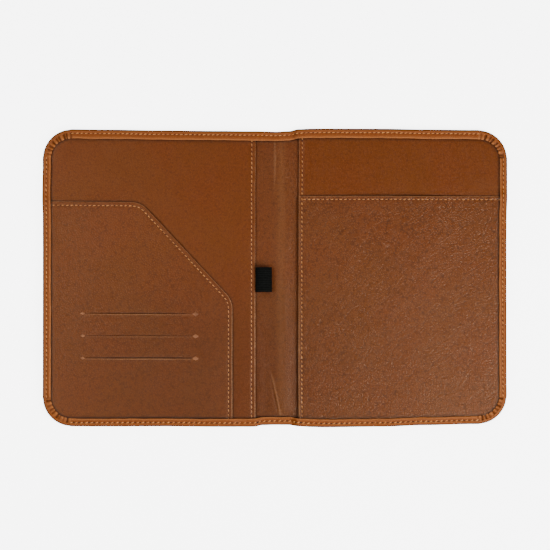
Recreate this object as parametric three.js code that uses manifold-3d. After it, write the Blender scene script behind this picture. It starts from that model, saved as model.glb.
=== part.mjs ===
// A leather document case lying open on a table with its inside up, in millimetres.
// +X runs from the left panel to the right one, +Y to the head of the case and +Z up.
// The origin is under the middle of the case, on the face that it rests on.
// The outer cover wraps round two stiffened panels and a soft spine. Its edge is turned in over
// them as a rim, which is gathered into small pleats at the four corners. The left panel carries
// a document pocket with a cut-off corner and card slits, the right panel a notepad pocket, and
// an elastic pen loop comes out from under the left panel's edge.

import * as THREE from 'three';
import { mergeVertices } from 'three/addons/utils/BufferGeometryUtils.js';
import Module from 'manifold-3d';

const wasm = await Module();
wasm.setup();

// The case as it lies open
const leftWidth = 171.2;
const spineWidth = 34.9;
const rightWidth = 167.5;
const caseHeight = 240;
const cornerRadius = 23.5;

// What the layers measure, and the gap that lies between two of them
const coverLeather = 1.1;
const panelBoard = 3.4;
const liningLeather = 0.8;
const pocketLeather = 1.1;
const layerGap = 0.3;

// The turned-in rim, one width for each side
const rimTop = 7.7;
const rimLeft = 6.8;
const rimBottom = 6.6;
const rimRight = 6.2;
const rimEdgeRound = 2.1;
const rimBevel = 0.5;
const foldRound = 1;
const rimStep = 6;
const stitchInset = 3.4;

// The gathers at each corner
const pleatsPerCorner = 9;
const pleatDepth = 0.5;
const pleatScallop = 0.45;

// How far the edges of the panels and pockets stay inside the case's outline
const tuckInset = 2.4;
const panelEdgeRound = 0.6;

// The lining of the spine
const liningMargin = 8;
const spineRipple = 1.1;

// The document pocket: its mouth is level, then falls away to the sewn right edge
const documentPocketWidth = 152.7;
const documentPocketHeight = 181.4;
const documentMouthWidth = 79;
const documentSlopeHeight = 78.8;
const mouthCornerRadius = 16;
const edgeCornerRadius = 18;
const documentGape = 1.2;
const gapeReach = 50;

// The card slits in the document pocket
const slitCount = 3;
const slitLength = 87.1;
const slitOpening = 0.9;
const slitPitch = 18;
const slitInset = 77.8;
const lowestSlitHeight = 55.3;

// The notepad pocket
const notepadPocketHeight = 185.7;
const notepadGape = 1.5;

// The pen loop
const loopReach = 13.5;
const loopBand = 20;
const loopRise = 7.2;
const loopElastic = 0.8;
const loopTail = 9;
const loopTailThickness = 1;
const loopDrop = 0.6;

// How far the case's edges drift in from a true rectangle as it lies
const longEdgeDrift = 2.8;
const shortEdgeDrift = 0.7;

const caseWidth = leftWidth + spineWidth + rightWidth;
const leftPanelEdge = leftWidth - caseWidth / 2;
const rightPanelEdge = leftPanelEdge + spineWidth;
const head = caseHeight / 2;
const foot = -caseHeight / 2;
const side = caseWidth / 2;

const insideFloor = coverLeather + layerGap;
const liningTop = insideFloor + liningLeather;
const panelTop = insideFloor + panelBoard;
const pocketBase = panelTop + layerGap;
const pocketTop = pocketBase + pocketLeather;

const documentPocketEdge = documentPocketWidth - side;
const documentMouth = foot + documentPocketHeight;
const notepadMouth = foot + notepadPocketHeight;

// Along the case, "at" runs 0 to 1 over the left panel, 1 to 2 over the spine and 2 to 3 over the
// right panel. The head and foot columns are shares of longEdgeDrift.
const longEdges = [
  { at: 0.0, head: 0.1, foot: 0.3 },
  { at: 0.32, head: 0.3, foot: 0.22 },
  { at: 0.55, head: 0.52, foot: 0.28 },
  { at: 0.84, head: 0.68, foot: 0.13 },
  { at: 0.96, head: 0.76, foot: 0.12 },
  { at: 1.16, head: 0.76, foot: 0.55 },
  { at: 1.46, head: 0.88, foot: 0.64 },
  { at: 1.76, head: 0.7, foot: 0.62 },
  { at: 2.0, head: 0.16, foot: 0.26 },
  { at: 2.06, head: 0.02, foot: 0.08 },
  { at: 2.12, head: 0.0, foot: 0.0 },
  { at: 2.4, head: 0.04, foot: 0.18 },
  { at: 2.6, head: 0.26, foot: 0.6 },
  { at: 2.84, head: 0.4, foot: 0.92 },
  { at: 3.0, head: 0.43, foot: 1.0 },
];

// Up the case, "at" runs 0 to 1 from foot to head. The columns are shares of shortEdgeDrift.
const shortEdges = [
  { at: 0.0, left: 0.6, right: 0.4 },
  { at: 0.22, left: 0.8, right: 0.9 },
  { at: 0.6, left: 0.9, right: 1.0 },
  { at: 0.7, left: 0.8, right: 0.8 },
  { at: 0.78, left: 0.0, right: 0.0 },
  { at: 0.88, left: 0.6, right: 0.0 },
  { at: 1.0, left: 0.8, right: 0.2 },
];

// Across the spine, "at" runs 0 to 1 from the left panel to the right one. The columns are shares
// of spineRipple: near the head, beside the pen loop, and near the foot.
const spineFolds = [
  { at: 0.0, head: 0.0, middle: 0.0, foot: 0.0 },
  { at: 0.1, head: 0.12, middle: 0.0, foot: 0.45 },
  { at: 0.24, head: 0.08, middle: 0.0, foot: 0.1 },
  { at: 0.38, head: 0.3, middle: 0.0, foot: 0.62 },
  { at: 0.46, head: 0.75, middle: 0.1, foot: 0.3 },
  { at: 0.54, head: 0.42, middle: 0.55, foot: 0.85 },
  { at: 0.66, head: 0.62, middle: 0.95, foot: 0.7 },
  { at: 0.82, head: 0.4, middle: 0.6, foot: 0.5 },
  { at: 0.95, head: 0.06, middle: 0.08, foot: 0.1 },
  { at: 1.0, head: 0.0, middle: 0.0, foot: 0.0 },
];

// One pleat's groove, read four times along the pleat
const pleatGroove = [1, 0.2, 0, 0.2];

function smooth(share) {
  const held = THREE.MathUtils.clamp(share, 0, 1);
  return held * held * (3 - 2 * held);
}

// A column of a table at a place between its rows
function read(table, column, at) {
  if (at <= table[0].at) return table[0][column];
  for (let i = 1; i < table.length; i += 1) {
    if (at <= table[i].at) {
      const before = table[i - 1];
      const share = smooth((at - before.at) / (table[i].at - before.at));
      return THREE.MathUtils.lerp(before[column], table[i][column], share);
    }
  }
  return table[table.length - 1][column];
}

function placeAlong(x) {
  if (x < leftPanelEdge) return (x + side) / leftWidth;
  if (x < rightPanelEdge) return 1 + (x - leftPanelEdge) / spineWidth;
  return 2 + (x - rightPanelEdge) / rightWidth;
}

// Where a point of the true rectangle comes to lie
function lie(x, y) {
  const across = placeAlong(x);
  const up = (y - foot) / caseHeight;
  const right = (x + side) / caseWidth;
  const headDrift = longEdgeDrift * read(longEdges, 'head', across);
  const footDrift = longEdgeDrift * read(longEdges, 'foot', across);
  const leftDrift = shortEdgeDrift * read(shortEdges, 'left', up);
  const rightDrift = shortEdgeDrift * read(shortEdges, 'right', up);
  return [
    x + leftDrift * (1 - right) - rightDrift * right,
    y + footDrift * (1 - up) - headDrift * up,
  ];
}

// 1 inside a limit, falling smoothly to 0 one rim step beyond it
function fade(beyond) {
  return 1 - smooth((beyond - layerGap) / rimStep);
}

// The height of what the rim lies on
function stackTop(x, y) {
  const panels = Math.max(fade(x - leftPanelEdge), fade(rightPanelEdge - x));
  const documents = fade(x - documentPocketEdge) * fade(y - documentMouth);
  const notepad = fade(rightPanelEdge - x) * fade(y - notepadMouth);
  return liningTop
    + (panelTop - liningTop) * panels
    + (pocketTop - panelTop) * Math.max(documents, notepad);
}

function evenly(from, to, count) {
  return Array.from({ length: count + 1 }, (_, k) => THREE.MathUtils.lerp(from, to, k / count));
}

// Places from one end up to the other, close together around each of the given spots
function stops(from, to, spots) {
  const count = 6 * Math.round(Math.abs(to - from) / (3 * rimStep));
  const step = Math.abs(to - from) / count;
  return evenly(from, to, count)
    .slice(0, -1)
    .filter((place, k) => k % 6 === 0 || spots.some((spot) => Math.abs(place - spot) < rimStep + step));
}

// The rounded rectangle of the case, anticlockwise from the foot of its right side. Each station
// has its point, the way inwards, the rim's width there and the depth of the pleat's groove.
function outlineStations() {
  const straightX = side - cornerRadius;
  const straightY = head - cornerRadius;
  const spineSpots = [leftPanelEdge, leftPanelEdge + spineWidth / 2, rightPanelEdge];
  const footSpots = [...spineSpots, documentPocketEdge];
  const eastward = new THREE.Vector2(1, 0);
  const origin = new THREE.Vector2();
  const sides = [
    { normal: 0, rim: rimRight, from: -straightY, to: straightY, spots: [notepadMouth] },
    { normal: 90, rim: rimTop, from: straightX, to: -straightX, spots: spineSpots },
    { normal: 180, rim: rimLeft, from: straightY, to: -straightY, spots: [documentMouth] },
    { normal: 270, rim: rimBottom, from: -straightX, to: straightX, spots: footSpots },
  ];
  const stations = [];
  sides.forEach((edge, index) => {
    const upright = index % 2 === 0;
    const outward = eastward.clone().rotateAround(origin, THREE.MathUtils.degToRad(edge.normal));
    for (const place of stops(edge.from, edge.to, edge.spots)) {
      const x = upright ? outward.x * side : place;
      const y = upright ? place : outward.y * head;
      const [inX, inY] = [-outward.x, -outward.y];
      stations.push({ x, y, inX, inY, rim: edge.rim, groove: 0, gathered: 0 });
    }
    const next = sides[(index + 1) % sides.length];
    const centreX = straightX * (index === 0 || index === 3 ? 1 : -1);
    const centreY = straightY * (index < 2 ? 1 : -1);
    const steps = pleatsPerCorner * pleatGroove.length;
    for (let k = 0; k <= steps; k += 1) {
      const share = k / steps;
      const angle = THREE.MathUtils.degToRad(edge.normal + 90 * share);
      const ends = k === 0 || k === steps;
      stations.push({
        x: centreX + cornerRadius * Math.cos(angle),
        y: centreY + cornerRadius * Math.sin(angle),
        inX: -Math.cos(angle),
        inY: -Math.sin(angle),
        rim: THREE.MathUtils.lerp(edge.rim, next.rim, smooth(share)),
        groove: ends ? 0 : pleatGroove[k % pleatGroove.length],
        gathered: ends ? 0 : 1,
      });
    }
  });
  return stations;
}

function geometryOf(positions, faces) {
  const geometry = new THREE.BufferGeometry();
  geometry.setAttribute('position', new THREE.Float32BufferAttribute(positions.flat(), 3));
  geometry.setIndex(faces.flat());
  return geometry;
}

// A closed solid through rings of as many points each. The first and last ring are filled in.
// With the rings' points anticlockwise from above, the first ring is the one that faces down.
function throughRings(rings) {
  const count = rings[0].length;
  const faces = [];
  for (let r = 0; r < rings.length - 1; r += 1) {
    for (let k = 0; k < count; k += 1) {
      const a = r * count + k;
      const b = r * count + ((k + 1) % count);
      faces.push([a, b, b + count], [a, b + count, a + count]);
    }
  }
  const cap = (ring, start, up) => {
    const flat = ring.map(([x, y]) => new THREE.Vector2(x, y));
    for (const [a, b, c] of THREE.ShapeUtils.triangulateShape(flat, [])) {
      const turn = (flat[b].x - flat[a].x) * (flat[c].y - flat[a].y)
        - (flat[b].y - flat[a].y) * (flat[c].x - flat[a].x);
      const keep = turn > 0 === up;
      faces.push(keep ? [start + a, start + b, start + c] : [start + a, start + c, start + b]);
    }
  };
  cap(rings[0], 0, false);
  cap(rings[rings.length - 1], (rings.length - 1) * count, true);
  return geometryOf(rings.flat(), faces);
}

// A sheet over a grid of places, with the height of its underside given by a function
function gridSheet(xs, ys, underside, thickness) {
  const positions = [];
  const faces = [];
  const index = (layer, i, j) => (layer * ys.length + j) * xs.length + i;
  for (const rise of [0, thickness]) {
    for (const y of ys) {
      for (const x of xs) positions.push([...lie(x, y), underside(x, y) + rise]);
    }
  }
  const quad = (a, b, c, d) => faces.push([a, b, c], [a, c, d]);
  for (let j = 0; j < ys.length - 1; j += 1) {
    for (let i = 0; i < xs.length - 1; i += 1) {
      quad(index(0, i, j), index(0, i, j + 1), index(0, i + 1, j + 1), index(0, i + 1, j));
      quad(index(1, i, j), index(1, i + 1, j), index(1, i + 1, j + 1), index(1, i, j + 1));
    }
  }
  const lastX = xs.length - 1;
  const lastY = ys.length - 1;
  for (let i = 0; i < lastX; i += 1) {
    quad(index(0, i, 0), index(0, i + 1, 0), index(1, i + 1, 0), index(1, i, 0));
    quad(index(0, i + 1, lastY), index(0, i, lastY), index(1, i, lastY), index(1, i + 1, lastY));
  }
  for (let j = 0; j < lastY; j += 1) {
    quad(index(0, 0, j + 1), index(0, 0, j), index(1, 0, j), index(1, 0, j + 1));
    quad(index(0, lastX, j), index(0, lastX, j + 1), index(1, lastX, j + 1), index(1, lastX, j));
  }
  return geometryOf(positions, faces);
}

// An upright prism over an outline, long enough to cut through any piece
function prism(points, low, high) {
  return throughRings([low, high].map((z) => points.map(([x, y]) => [...lie(x, y), z])));
}

function box(left, right, near, far, low, high) {
  return prism([[left, near], [right, near], [right, far], [left, far]], low, high);
}

function toSolid(geometry) {
  const merged = geometry.clone();
  merged.deleteAttribute('normal');
  merged.deleteAttribute('uv');
  const closed = mergeVertices(merged, 1e-5);
  return new wasm.Manifold(new wasm.Mesh({
    numProp: 3,
    vertProperties: new Float32Array(closed.attributes.position.array),
    triVerts: new Uint32Array(closed.index.array),
  }));
}

function toGeometry(solid) {
  const mesh = solid.getMesh();
  const geometry = new THREE.BufferGeometry();
  geometry.setAttribute('position', new THREE.Float32BufferAttribute(mesh.vertProperties, mesh.numProp));
  geometry.setIndex(Array.from(mesh.triVerts));
  return geometry;
}

const stations = outlineStations();

// The case's outline drawn in by a distance
function drawnIn(inset) {
  return stations
    .filter((s) => s.groove === 0)
    .map((s) => [s.x + s.inX * inset, s.y + s.inY * inset]);
}

// The outer cover: a flat sheet whose edge turns up round the layers and in over them
function outerCover() {
  const quarter = 1 - Math.SQRT1_2;
  const section = (s) => {
    const under = stackTop(s.x, s.y) + layerGap;
    const top = under + coverLeather;
    const round = Math.min(rimEdgeRound, 0.46 * top);
    const inner = Math.min(foldRound, 0.46 * (under - coverLeather));
    const drop = pleatDepth * s.groove;
    const lip = s.rim + pleatScallop * (0.5 - s.groove) * s.gathered;
    return [
      [round, 0],
      [round * quarter, round * quarter],
      [0, round],
      [0, top - round],
      [round * quarter, top - round * quarter],
      [round, top],
      [stitchInset, top],
      [lip - rimBevel, top - drop],
      [lip, top - rimBevel - drop],
      [lip, under],
      [coverLeather + inner, under],
      [coverLeather, under - inner],
      [coverLeather, coverLeather + inner],
      [coverLeather + inner, coverLeather],
    ];
  };
  const sections = stations.map((s) => section(s));
  const rings = sections[0].map((_, row) => stations.map((s, k) => {
    const [inset, z] = sections[k][row];
    return [...lie(s.x + s.inX * inset, s.y + s.inY * inset), z];
  }));
  return throughRings(rings);
}

// A stiffened panel, cut from the case's outline at its spine edge, with rebates underneath
function panel(keepLeft, keepRight, rebates) {
  const rows = [
    { z: insideFloor, inset: tuckInset },
    { z: panelTop - panelEdgeRound, inset: tuckInset },
    { z: panelTop, inset: tuckInset + panelEdgeRound },
  ];
  const plate = throughRings(rows.map((row) => drawnIn(row.inset).map(([x, y]) => [...lie(x, y), row.z])));
  const kept = box(keepLeft, keepRight, foot, head, 0, 2 * panelTop);
  let solid = toSolid(plate).intersect(toSolid(kept));
  for (const rebate of rebates) solid = solid.subtract(toSolid(rebate));
  return toGeometry(solid);
}

function leftPanel() {
  const liningRebate = box(
    leftPanelEdge - liningMargin - layerGap, leftPanelEdge + layerGap,
    foot, head, 0, liningTop + layerGap,
  );
  const loopRebate = box(
    leftPanelEdge - loopTail - layerGap, leftPanelEdge + layerGap,
    -loopDrop - loopBand / 2 - layerGap, -loopDrop + loopBand / 2 + layerGap,
    0, liningTop + 2 * layerGap + loopTailThickness,
  );
  return panel(-side, leftPanelEdge, [liningRebate, loopRebate]);
}

function rightPanel() {
  const liningRebate = box(
    rightPanelEdge - layerGap, rightPanelEdge + liningMargin + layerGap,
    foot, head, 0, liningTop + layerGap,
  );
  return panel(rightPanelEdge, side, [liningRebate]);
}

// The lining between the panels, which lies in soft folds and goes flat under the rim
function spineLining() {
  const between = evenly(leftPanelEdge + layerGap, rightPanelEdge - layerGap, 20);
  const xs = [leftPanelEdge - liningMargin, ...between, rightPanelEdge + liningMargin];
  const ys = evenly(foot + tuckInset, head - tuckInset, 12);
  const underside = (x, y) => {
    const at = (x - leftPanelEdge) / spineWidth;
    const up = y / head;
    const headShare = smooth(up);
    const footShare = smooth(-up);
    const rise = read(spineFolds, 'head', at) * headShare
      + read(spineFolds, 'foot', at) * footShare
      + read(spineFolds, 'middle', at) * (1 - headShare - footShare);
    const free = smooth((head - Math.abs(y) - rimTop - layerGap) / rimStep);
    return insideFloor + spineRipple * rise * free;
  };
  return gridSheet(xs, ys, underside, liningLeather);
}

// A round corner between two straight edges, as points on its arc
function roundCorner([x, y], before, after, radius, segments) {
  const corner = new THREE.Vector2(x, y);
  const toBefore = new THREE.Vector2(...before).sub(corner).normalize();
  const toAfter = new THREE.Vector2(...after).sub(corner).normalize();
  const half = Math.acos(THREE.MathUtils.clamp(toBefore.dot(toAfter), -1, 1)) / 2;
  const toCentre = toBefore.clone().add(toAfter).normalize();
  const centre = toCentre.multiplyScalar(radius / Math.sin(half)).add(corner);
  const start = toBefore.clone().multiplyScalar(radius / Math.tan(half)).add(corner).sub(centre);
  const end = toAfter.clone().multiplyScalar(radius / Math.tan(half)).add(corner).sub(centre);
  const turn = Math.atan2(start.cross(end), start.dot(end));
  return evenly(0, turn, segments).map((angle) => {
    const point = start.clone().rotateAround(new THREE.Vector2(), angle).add(centre);
    return [point.x, point.y];
  });
}

// The document pocket's free edge, from the foot of its right edge round to its left end
function documentEdge() {
  const footCorner = [documentPocketEdge, foot];
  const edgeCorner = [documentPocketEdge, documentMouth - documentSlopeHeight];
  const mouthCorner = [documentMouthWidth - side, documentMouth];
  const leftEnd = [-side, documentMouth];
  return [
    footCorner,
    ...roundCorner(edgeCorner, footCorner, mouthCorner, edgeCornerRadius, 6),
    ...roundCorner(mouthCorner, edgeCorner, leftEnd, mouthCornerRadius, 6),
    leftEnd,
  ];
}

function documentPocket() {
  const xs = evenly(tuckInset - side, documentPocketEdge, 12);
  const ys = evenly(foot + tuckInset, documentMouth, 12);
  const underside = (x, y) => {
    const fromLeft = smooth((x + side - rimLeft - layerGap) / gapeReach);
    const fromRight = smooth((documentPocketEdge - x) / gapeReach);
    const fromFoot = smooth((y - foot - rimBottom - layerGap) / documentPocketHeight);
    return pocketBase + documentGape * fromLeft * fromRight * fromFoot;
  };
  const shape = [[-side, foot], ...documentEdge()];
  let solid = toSolid(gridSheet(xs, ys, underside, pocketLeather))
    .intersect(toSolid(prism(shape, 0, 4 * pocketTop)))
    .intersect(toSolid(prism(drawnIn(tuckInset), 0, 4 * pocketTop)));
  for (let k = 0; k < slitCount; k += 1) {
    const middle = slitInset - side;
    const level = foot + lowestSlitHeight + k * slitPitch;
    solid = solid.subtract(toSolid(box(
      middle - slitLength / 2, middle + slitLength / 2,
      level - slitOpening / 2, level + slitOpening / 2,
      0, 4 * pocketTop,
    )));
  }
  return toGeometry(solid);
}

function notepadPocket() {
  const xs = evenly(rightPanelEdge, side - tuckInset, 16);
  const ys = evenly(foot + tuckInset, notepadMouth, 12);
  const openWidth = rightWidth - rimRight - 2 * stitchInset;
  const underside = (x, y) => {
    const across = THREE.MathUtils.clamp((x - rightPanelEdge - stitchInset) / openWidth, 0, 1);
    const up = smooth((y - foot - rimBottom - layerGap) / notepadPocketHeight);
    return pocketBase + notepadGape * Math.sin(Math.PI * across) ** 2 * up;
  };
  const solid = toSolid(gridSheet(xs, ys, underside, pocketLeather))
    .intersect(toSolid(prism(drawnIn(tuckInset), 0, 4 * pocketTop)));
  return toGeometry(solid);
}

// The pen loop: an oval band of elastic whose sewn ends are tucked under the left panel
function penLoop() {
  const seat = liningTop + layerGap;
  const halfWidth = (loopReach - layerGap) / 2;
  const halfRise = loopRise / 2;
  const band = (inset) => {
    const curve = new THREE.EllipseCurve(halfWidth, halfRise, halfWidth - inset, halfRise - inset);
    const shape = new THREE.Shape(curve.getPoints(40).slice(0, -1));
    const geometry = new THREE.ExtrudeGeometry(shape, { depth: loopBand, bevelEnabled: false });
    return geometry.rotateX(Math.PI / 2).translate(0, loopBand / 2, 0);
  };
  const tail = new THREE.BoxGeometry(loopTail + halfWidth, loopBand, loopTailThickness);
  tail.translate((halfWidth - loopTail) / 2, 0, loopTailThickness / 2);
  const geometry = toGeometry(toSolid(band(0)).add(toSolid(tail)).subtract(toSolid(band(loopElastic))));
  const [x, y] = lie(leftPanelEdge + layerGap, -loopDrop);
  return geometry.translate(x, y, seat);
}

const coverLeatherFinish = { color: 0x9a5523, roughness: 0.5, metalness: 0 };
const insideLeatherFinish = { color: 0x7a431f, roughness: 0.48, metalness: 0 };
const elasticFinish = { color: 0x0b0d0c, roughness: 0.85, metalness: 0 };

function named(name, geometry, finish) {
  const mesh = new THREE.Mesh(geometry, new THREE.MeshStandardMaterial(finish));
  mesh.name = name;
  return mesh;
}

const documentCase = new THREE.Group();
documentCase.add(
  named('outer_cover', outerCover(), coverLeatherFinish),
  named('left_panel', leftPanel(), insideLeatherFinish),
  named('right_panel', rightPanel(), insideLeatherFinish),
  named('spine_lining', spineLining(), insideLeatherFinish),
  named('document_pocket', documentPocket(), insideLeatherFinish),
  named('notepad_pocket', notepadPocket(), insideLeatherFinish),
  named('pen_loop', penLoop(), elasticFinish),
);

export default documentCase;
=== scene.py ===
"""An open leather document case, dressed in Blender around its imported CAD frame."""

import logging
import math
from collections.abc import Callable, Sequence
from dataclasses import dataclass, replace
from enum import Enum
from functools import cache

import bpy
import numpy as np
from mathutils import Matrix, Vector, noise
from mathutils.geometry import delaunay_2d_cdt


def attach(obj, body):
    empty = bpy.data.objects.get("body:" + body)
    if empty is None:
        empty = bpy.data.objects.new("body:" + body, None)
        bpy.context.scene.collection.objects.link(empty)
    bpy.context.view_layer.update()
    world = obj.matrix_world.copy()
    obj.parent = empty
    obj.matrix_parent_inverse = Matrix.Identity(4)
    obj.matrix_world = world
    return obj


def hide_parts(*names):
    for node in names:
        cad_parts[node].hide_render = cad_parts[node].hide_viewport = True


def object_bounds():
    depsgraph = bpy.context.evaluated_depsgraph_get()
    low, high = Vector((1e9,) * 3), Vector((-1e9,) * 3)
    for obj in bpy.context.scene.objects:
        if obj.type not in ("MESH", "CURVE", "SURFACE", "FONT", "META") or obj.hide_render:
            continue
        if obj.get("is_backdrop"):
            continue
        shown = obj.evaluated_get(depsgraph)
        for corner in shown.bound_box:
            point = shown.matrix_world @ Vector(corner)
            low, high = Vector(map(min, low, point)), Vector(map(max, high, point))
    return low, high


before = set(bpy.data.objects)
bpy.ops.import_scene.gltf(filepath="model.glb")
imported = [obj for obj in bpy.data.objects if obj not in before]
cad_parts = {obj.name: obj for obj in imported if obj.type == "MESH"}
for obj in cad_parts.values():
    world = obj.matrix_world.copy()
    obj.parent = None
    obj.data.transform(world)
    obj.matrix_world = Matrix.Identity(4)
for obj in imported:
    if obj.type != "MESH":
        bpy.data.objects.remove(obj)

LOG = logging.getLogger("document_case")
MM = 0.001
BODY = "root"
Array = np.ndarray
Node = bpy.types.Node
Piece = bpy.types.Object
Socket = bpy.types.NodeSocket
Tree = bpy.types.NodeTree
Colour = tuple[float, float, float, float]
Point = tuple[float, float]
Line = list[Point]
Height = Callable[[Array, Array], Array]


class Swell(Enum):
    """The slice of the noise that each surface's unevenness is read from."""

    PANEL = 1.3
    LONG_WRINKLES = 2.2
    RIM = 3.1
    SPINE = 5.9
    LIP = 7.7
    BROAD_WRINKLES = 8.8
    DOCUMENT_POCKET = 9.4


def smooth(share: Array | float) -> Array | float:
    """Ease a share from 0 to 1, holding it flat outside that range.

    Args:
        share: The share, as a number or an array.

    Returns:
        The eased share, from 0 to 1.
    """
    held = np.clip(share, 0.0, 1.0)
    return held * held * (3.0 - 2.0 * held)


def bump(distance: Array | float, width: float) -> Array | float:
    """Return a round bump of height 1 at distance 0, which falls away over a width."""
    return np.exp(-((distance / width) ** 2))


def foot_highlight_and_rub(y: Array) -> Array:
    """Work out how strongly an edge's rubbing and painted highlight show, which is most towards the
    foot.

    Args:
        y: Places along Y.

    Returns:
        The strength at each place, from 0 to 1.
    """
    least, start, reach = 0.3, 15.0, 70.0
    return least + (1 - least) * smooth((start - y) / reach)


def rounding(distance: Array, radius: float) -> Array:
    """Work out how far a rounded edge falls away.

    Args:
        distance: How far each point is inside the edge.
        radius: The radius of the rounding.

    Returns:
        The drop at each point, 0 past the radius.
    """
    short = np.clip(radius - distance, 0.0, radius)
    return radius - np.sqrt(radius * radius - short * short)


def soft_noise(x: Array, y: Array, size: float, swell: Swell) -> Array:
    """Sample a smooth, repeatable noise.

    Args:
        x: Places along X in millimetres.
        y: Places along Y in millimetres.
        size: The size of the noise's swells in millimetres.
        swell: Which slice of the noise to read.

    Returns:
        The noise at each place, from about -1 to 1.
    """
    places = np.stack([np.ravel(x) / size, np.ravel(y) / size], axis=1)
    values = [noise.noise(Vector((px, py, swell.value))) for px, py in places]
    return 2.0 * np.array(values).reshape(np.shape(x))


class Side(Enum):
    """The two panels of the case."""

    LEFT = "left"
    RIGHT = "right"


@dataclass(frozen=True)
class Layout:
    """The case's sizes in millimetres, as its CAD frame has them, and the way it lies."""

    left_width: float = 171.2
    spine_width: float = 34.9
    right_width: float = 167.5
    height: float = 240.0
    corner_radius: float = 23.5
    cover_leather: float = 1.1
    panel_board: float = 3.4
    lining_leather: float = 0.8
    pocket_leather: float = 1.1
    gap: float = 0.3
    rim_top: float = 7.7
    rim_left: float = 6.8
    rim_bottom: float = 6.6
    rim_right: float = 6.2
    rim_step: float = 6.0
    stitch_inset: float = 3.4
    tuck: float = 2.6
    long_drift: float = 2.8
    short_drift: float = 0.7

    # A broad painted shade over the leather, darkest beside the spine's foot
    broad_shade_strength: float = 0.3
    broad_shade_x: float = -65.0
    broad_shade_width: float = 115.0
    broad_shade_from: float = 40.0
    broad_shade_fade: float = 110.0

    # Along the case, 0 to 1 over the left panel, 1 to 2 over the spine and 2 to 3 over the right one:
    # each place, and how far the head and the foot are drawn in there, as shares of long_drift
    LONG_EDGES = np.array([
        [0.0, 0.32, 0.55, 0.84, 0.96, 1.16, 1.46, 1.76, 2.0, 2.06, 2.12, 2.4, 2.6, 2.84, 3.0],
        [0.1, 0.3, 0.52, 0.68, 0.76, 0.76, 0.88, 0.7, 0.16, 0.02, 0.0, 0.04, 0.26, 0.4, 0.43],
        [0.3, 0.22, 0.28, 0.13, 0.12, 0.55, 0.64, 0.62, 0.26, 0.08, 0.0, 0.18, 0.6, 0.92, 1.0],
    ]).T
    # Up the case, from its foot at 0 to its head at 1: each place, and how far the left and the right
    # side are drawn in there, as shares of short_drift
    SHORT_EDGES = np.array([
        [0.0, 0.22, 0.6, 0.7, 0.78, 0.88, 1.0],
        [0.6, 0.8, 0.9, 0.8, 0.0, 0.6, 0.8],
        [0.4, 0.9, 1.0, 0.8, 0.0, 0.0, 0.2],
    ]).T

    @property
    def width(self) -> float:
        """The whole width of the open case."""
        return self.left_width + self.spine_width + self.right_width

    @property
    def side(self) -> float:
        """Half of the width."""
        return self.width / 2

    @property
    def head(self) -> float:
        """Half of the height."""
        return self.height / 2

    @property
    def left_edge(self) -> float:
        """Where the left panel ends at the spine."""
        return self.left_width - self.side

    @property
    def right_edge(self) -> float:
        """Where the right panel starts at the spine."""
        return self.left_edge + self.spine_width

    @property
    def floor(self) -> float:
        """The height that the panels and the spine's lining start at."""
        return self.cover_leather + self.gap

    @property
    def lining_top(self) -> float:
        """The top of the spine's lining where it lies flat."""
        return self.floor + self.lining_leather

    @property
    def panel_top(self) -> float:
        """The top of both panels."""
        return self.floor + self.panel_board

    @property
    def pocket_base(self) -> float:
        """The underside of both pockets where they lie flat."""
        return self.panel_top + self.gap

    @property
    def pocket_top(self) -> float:
        """The top of both pockets where they lie flat."""
        return self.pocket_base + self.pocket_leather

    def lie(self, x: Array, y: Array) -> tuple[Array, Array]:
        """Move points of the true rectangle to where they come to lie.

        Args:
            x: Places along X.
            y: Places along Y.

        Returns:
            The moved places along X and along Y.
        """
        across = np.where(
            x < self.left_edge,
            (x + self.side) / self.left_width,
            np.where(
                x < self.right_edge,
                1 + (x - self.left_edge) / self.spine_width,
                2 + (x - self.right_edge) / self.right_width,
            ),
        )
        up = (y + self.head) / self.height
        right = (x + self.side) / self.width
        head_drift = self.long_drift * read(self.LONG_EDGES, 1, across)
        foot_drift = self.long_drift * read(self.LONG_EDGES, 2, across)
        left_drift = self.short_drift * read(self.SHORT_EDGES, 1, up)
        right_drift = self.short_drift * read(self.SHORT_EDGES, 2, up)
        return (
            x + left_drift * (1 - right) - right_drift * right,
            y + foot_drift * (1 - up) - head_drift * up,
        )

    def broad_painted_shade(self, x: Array, y: Array) -> Array:
        """Work out the broad painted shade that darkens the leather, which is most beside the spine's
        foot.

        Args:
            x: Places along X.
            y: Places along Y.

        Returns:
            The shade at each place.
        """
        near = bump(x - self.broad_shade_x, self.broad_shade_width)
        return self.broad_shade_strength * near * smooth((self.broad_shade_from - y) / self.broad_shade_fade)

    def inside_rim(self, x: Array, y: Array) -> Array:
        """Measure how far inside the rim's lip each point is, or under it if negative.

        Args:
            x: Places along X.
            y: Places along Y.

        Returns:
            The distance of each point from the lip.
        """
        radius = self.corner_radius - self.rim_left
        along_x = np.minimum(x + self.side - self.rim_left, self.side - self.rim_right - x)
        along_y = np.minimum(y + self.head - self.rim_bottom, self.head - self.rim_top - y)
        corner = radius - np.hypot(radius - along_x, radius - along_y)
        in_corner = (along_x < radius) & (along_y < radius)
        return np.where(in_corner, corner, np.minimum(along_x, along_y))


def read(table: Array, column: int, at: Array) -> Array:
    """Read a column of a table at places between its rows.

    Args:
        table: Rows that start with a rising place.
        column: Which column to read.
        at: The places to read it at.

    Returns:
        The column's value at each place, eased from row to row.
    """
    rows = np.clip(np.searchsorted(table[:, 0], at), 1, len(table) - 1)
    before, after = table[rows - 1], table[rows]
    share = smooth((at - before[..., 0]) / (after[..., 0] - before[..., 0]))
    return before[..., column] * (1 - share) + after[..., column] * share


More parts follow.
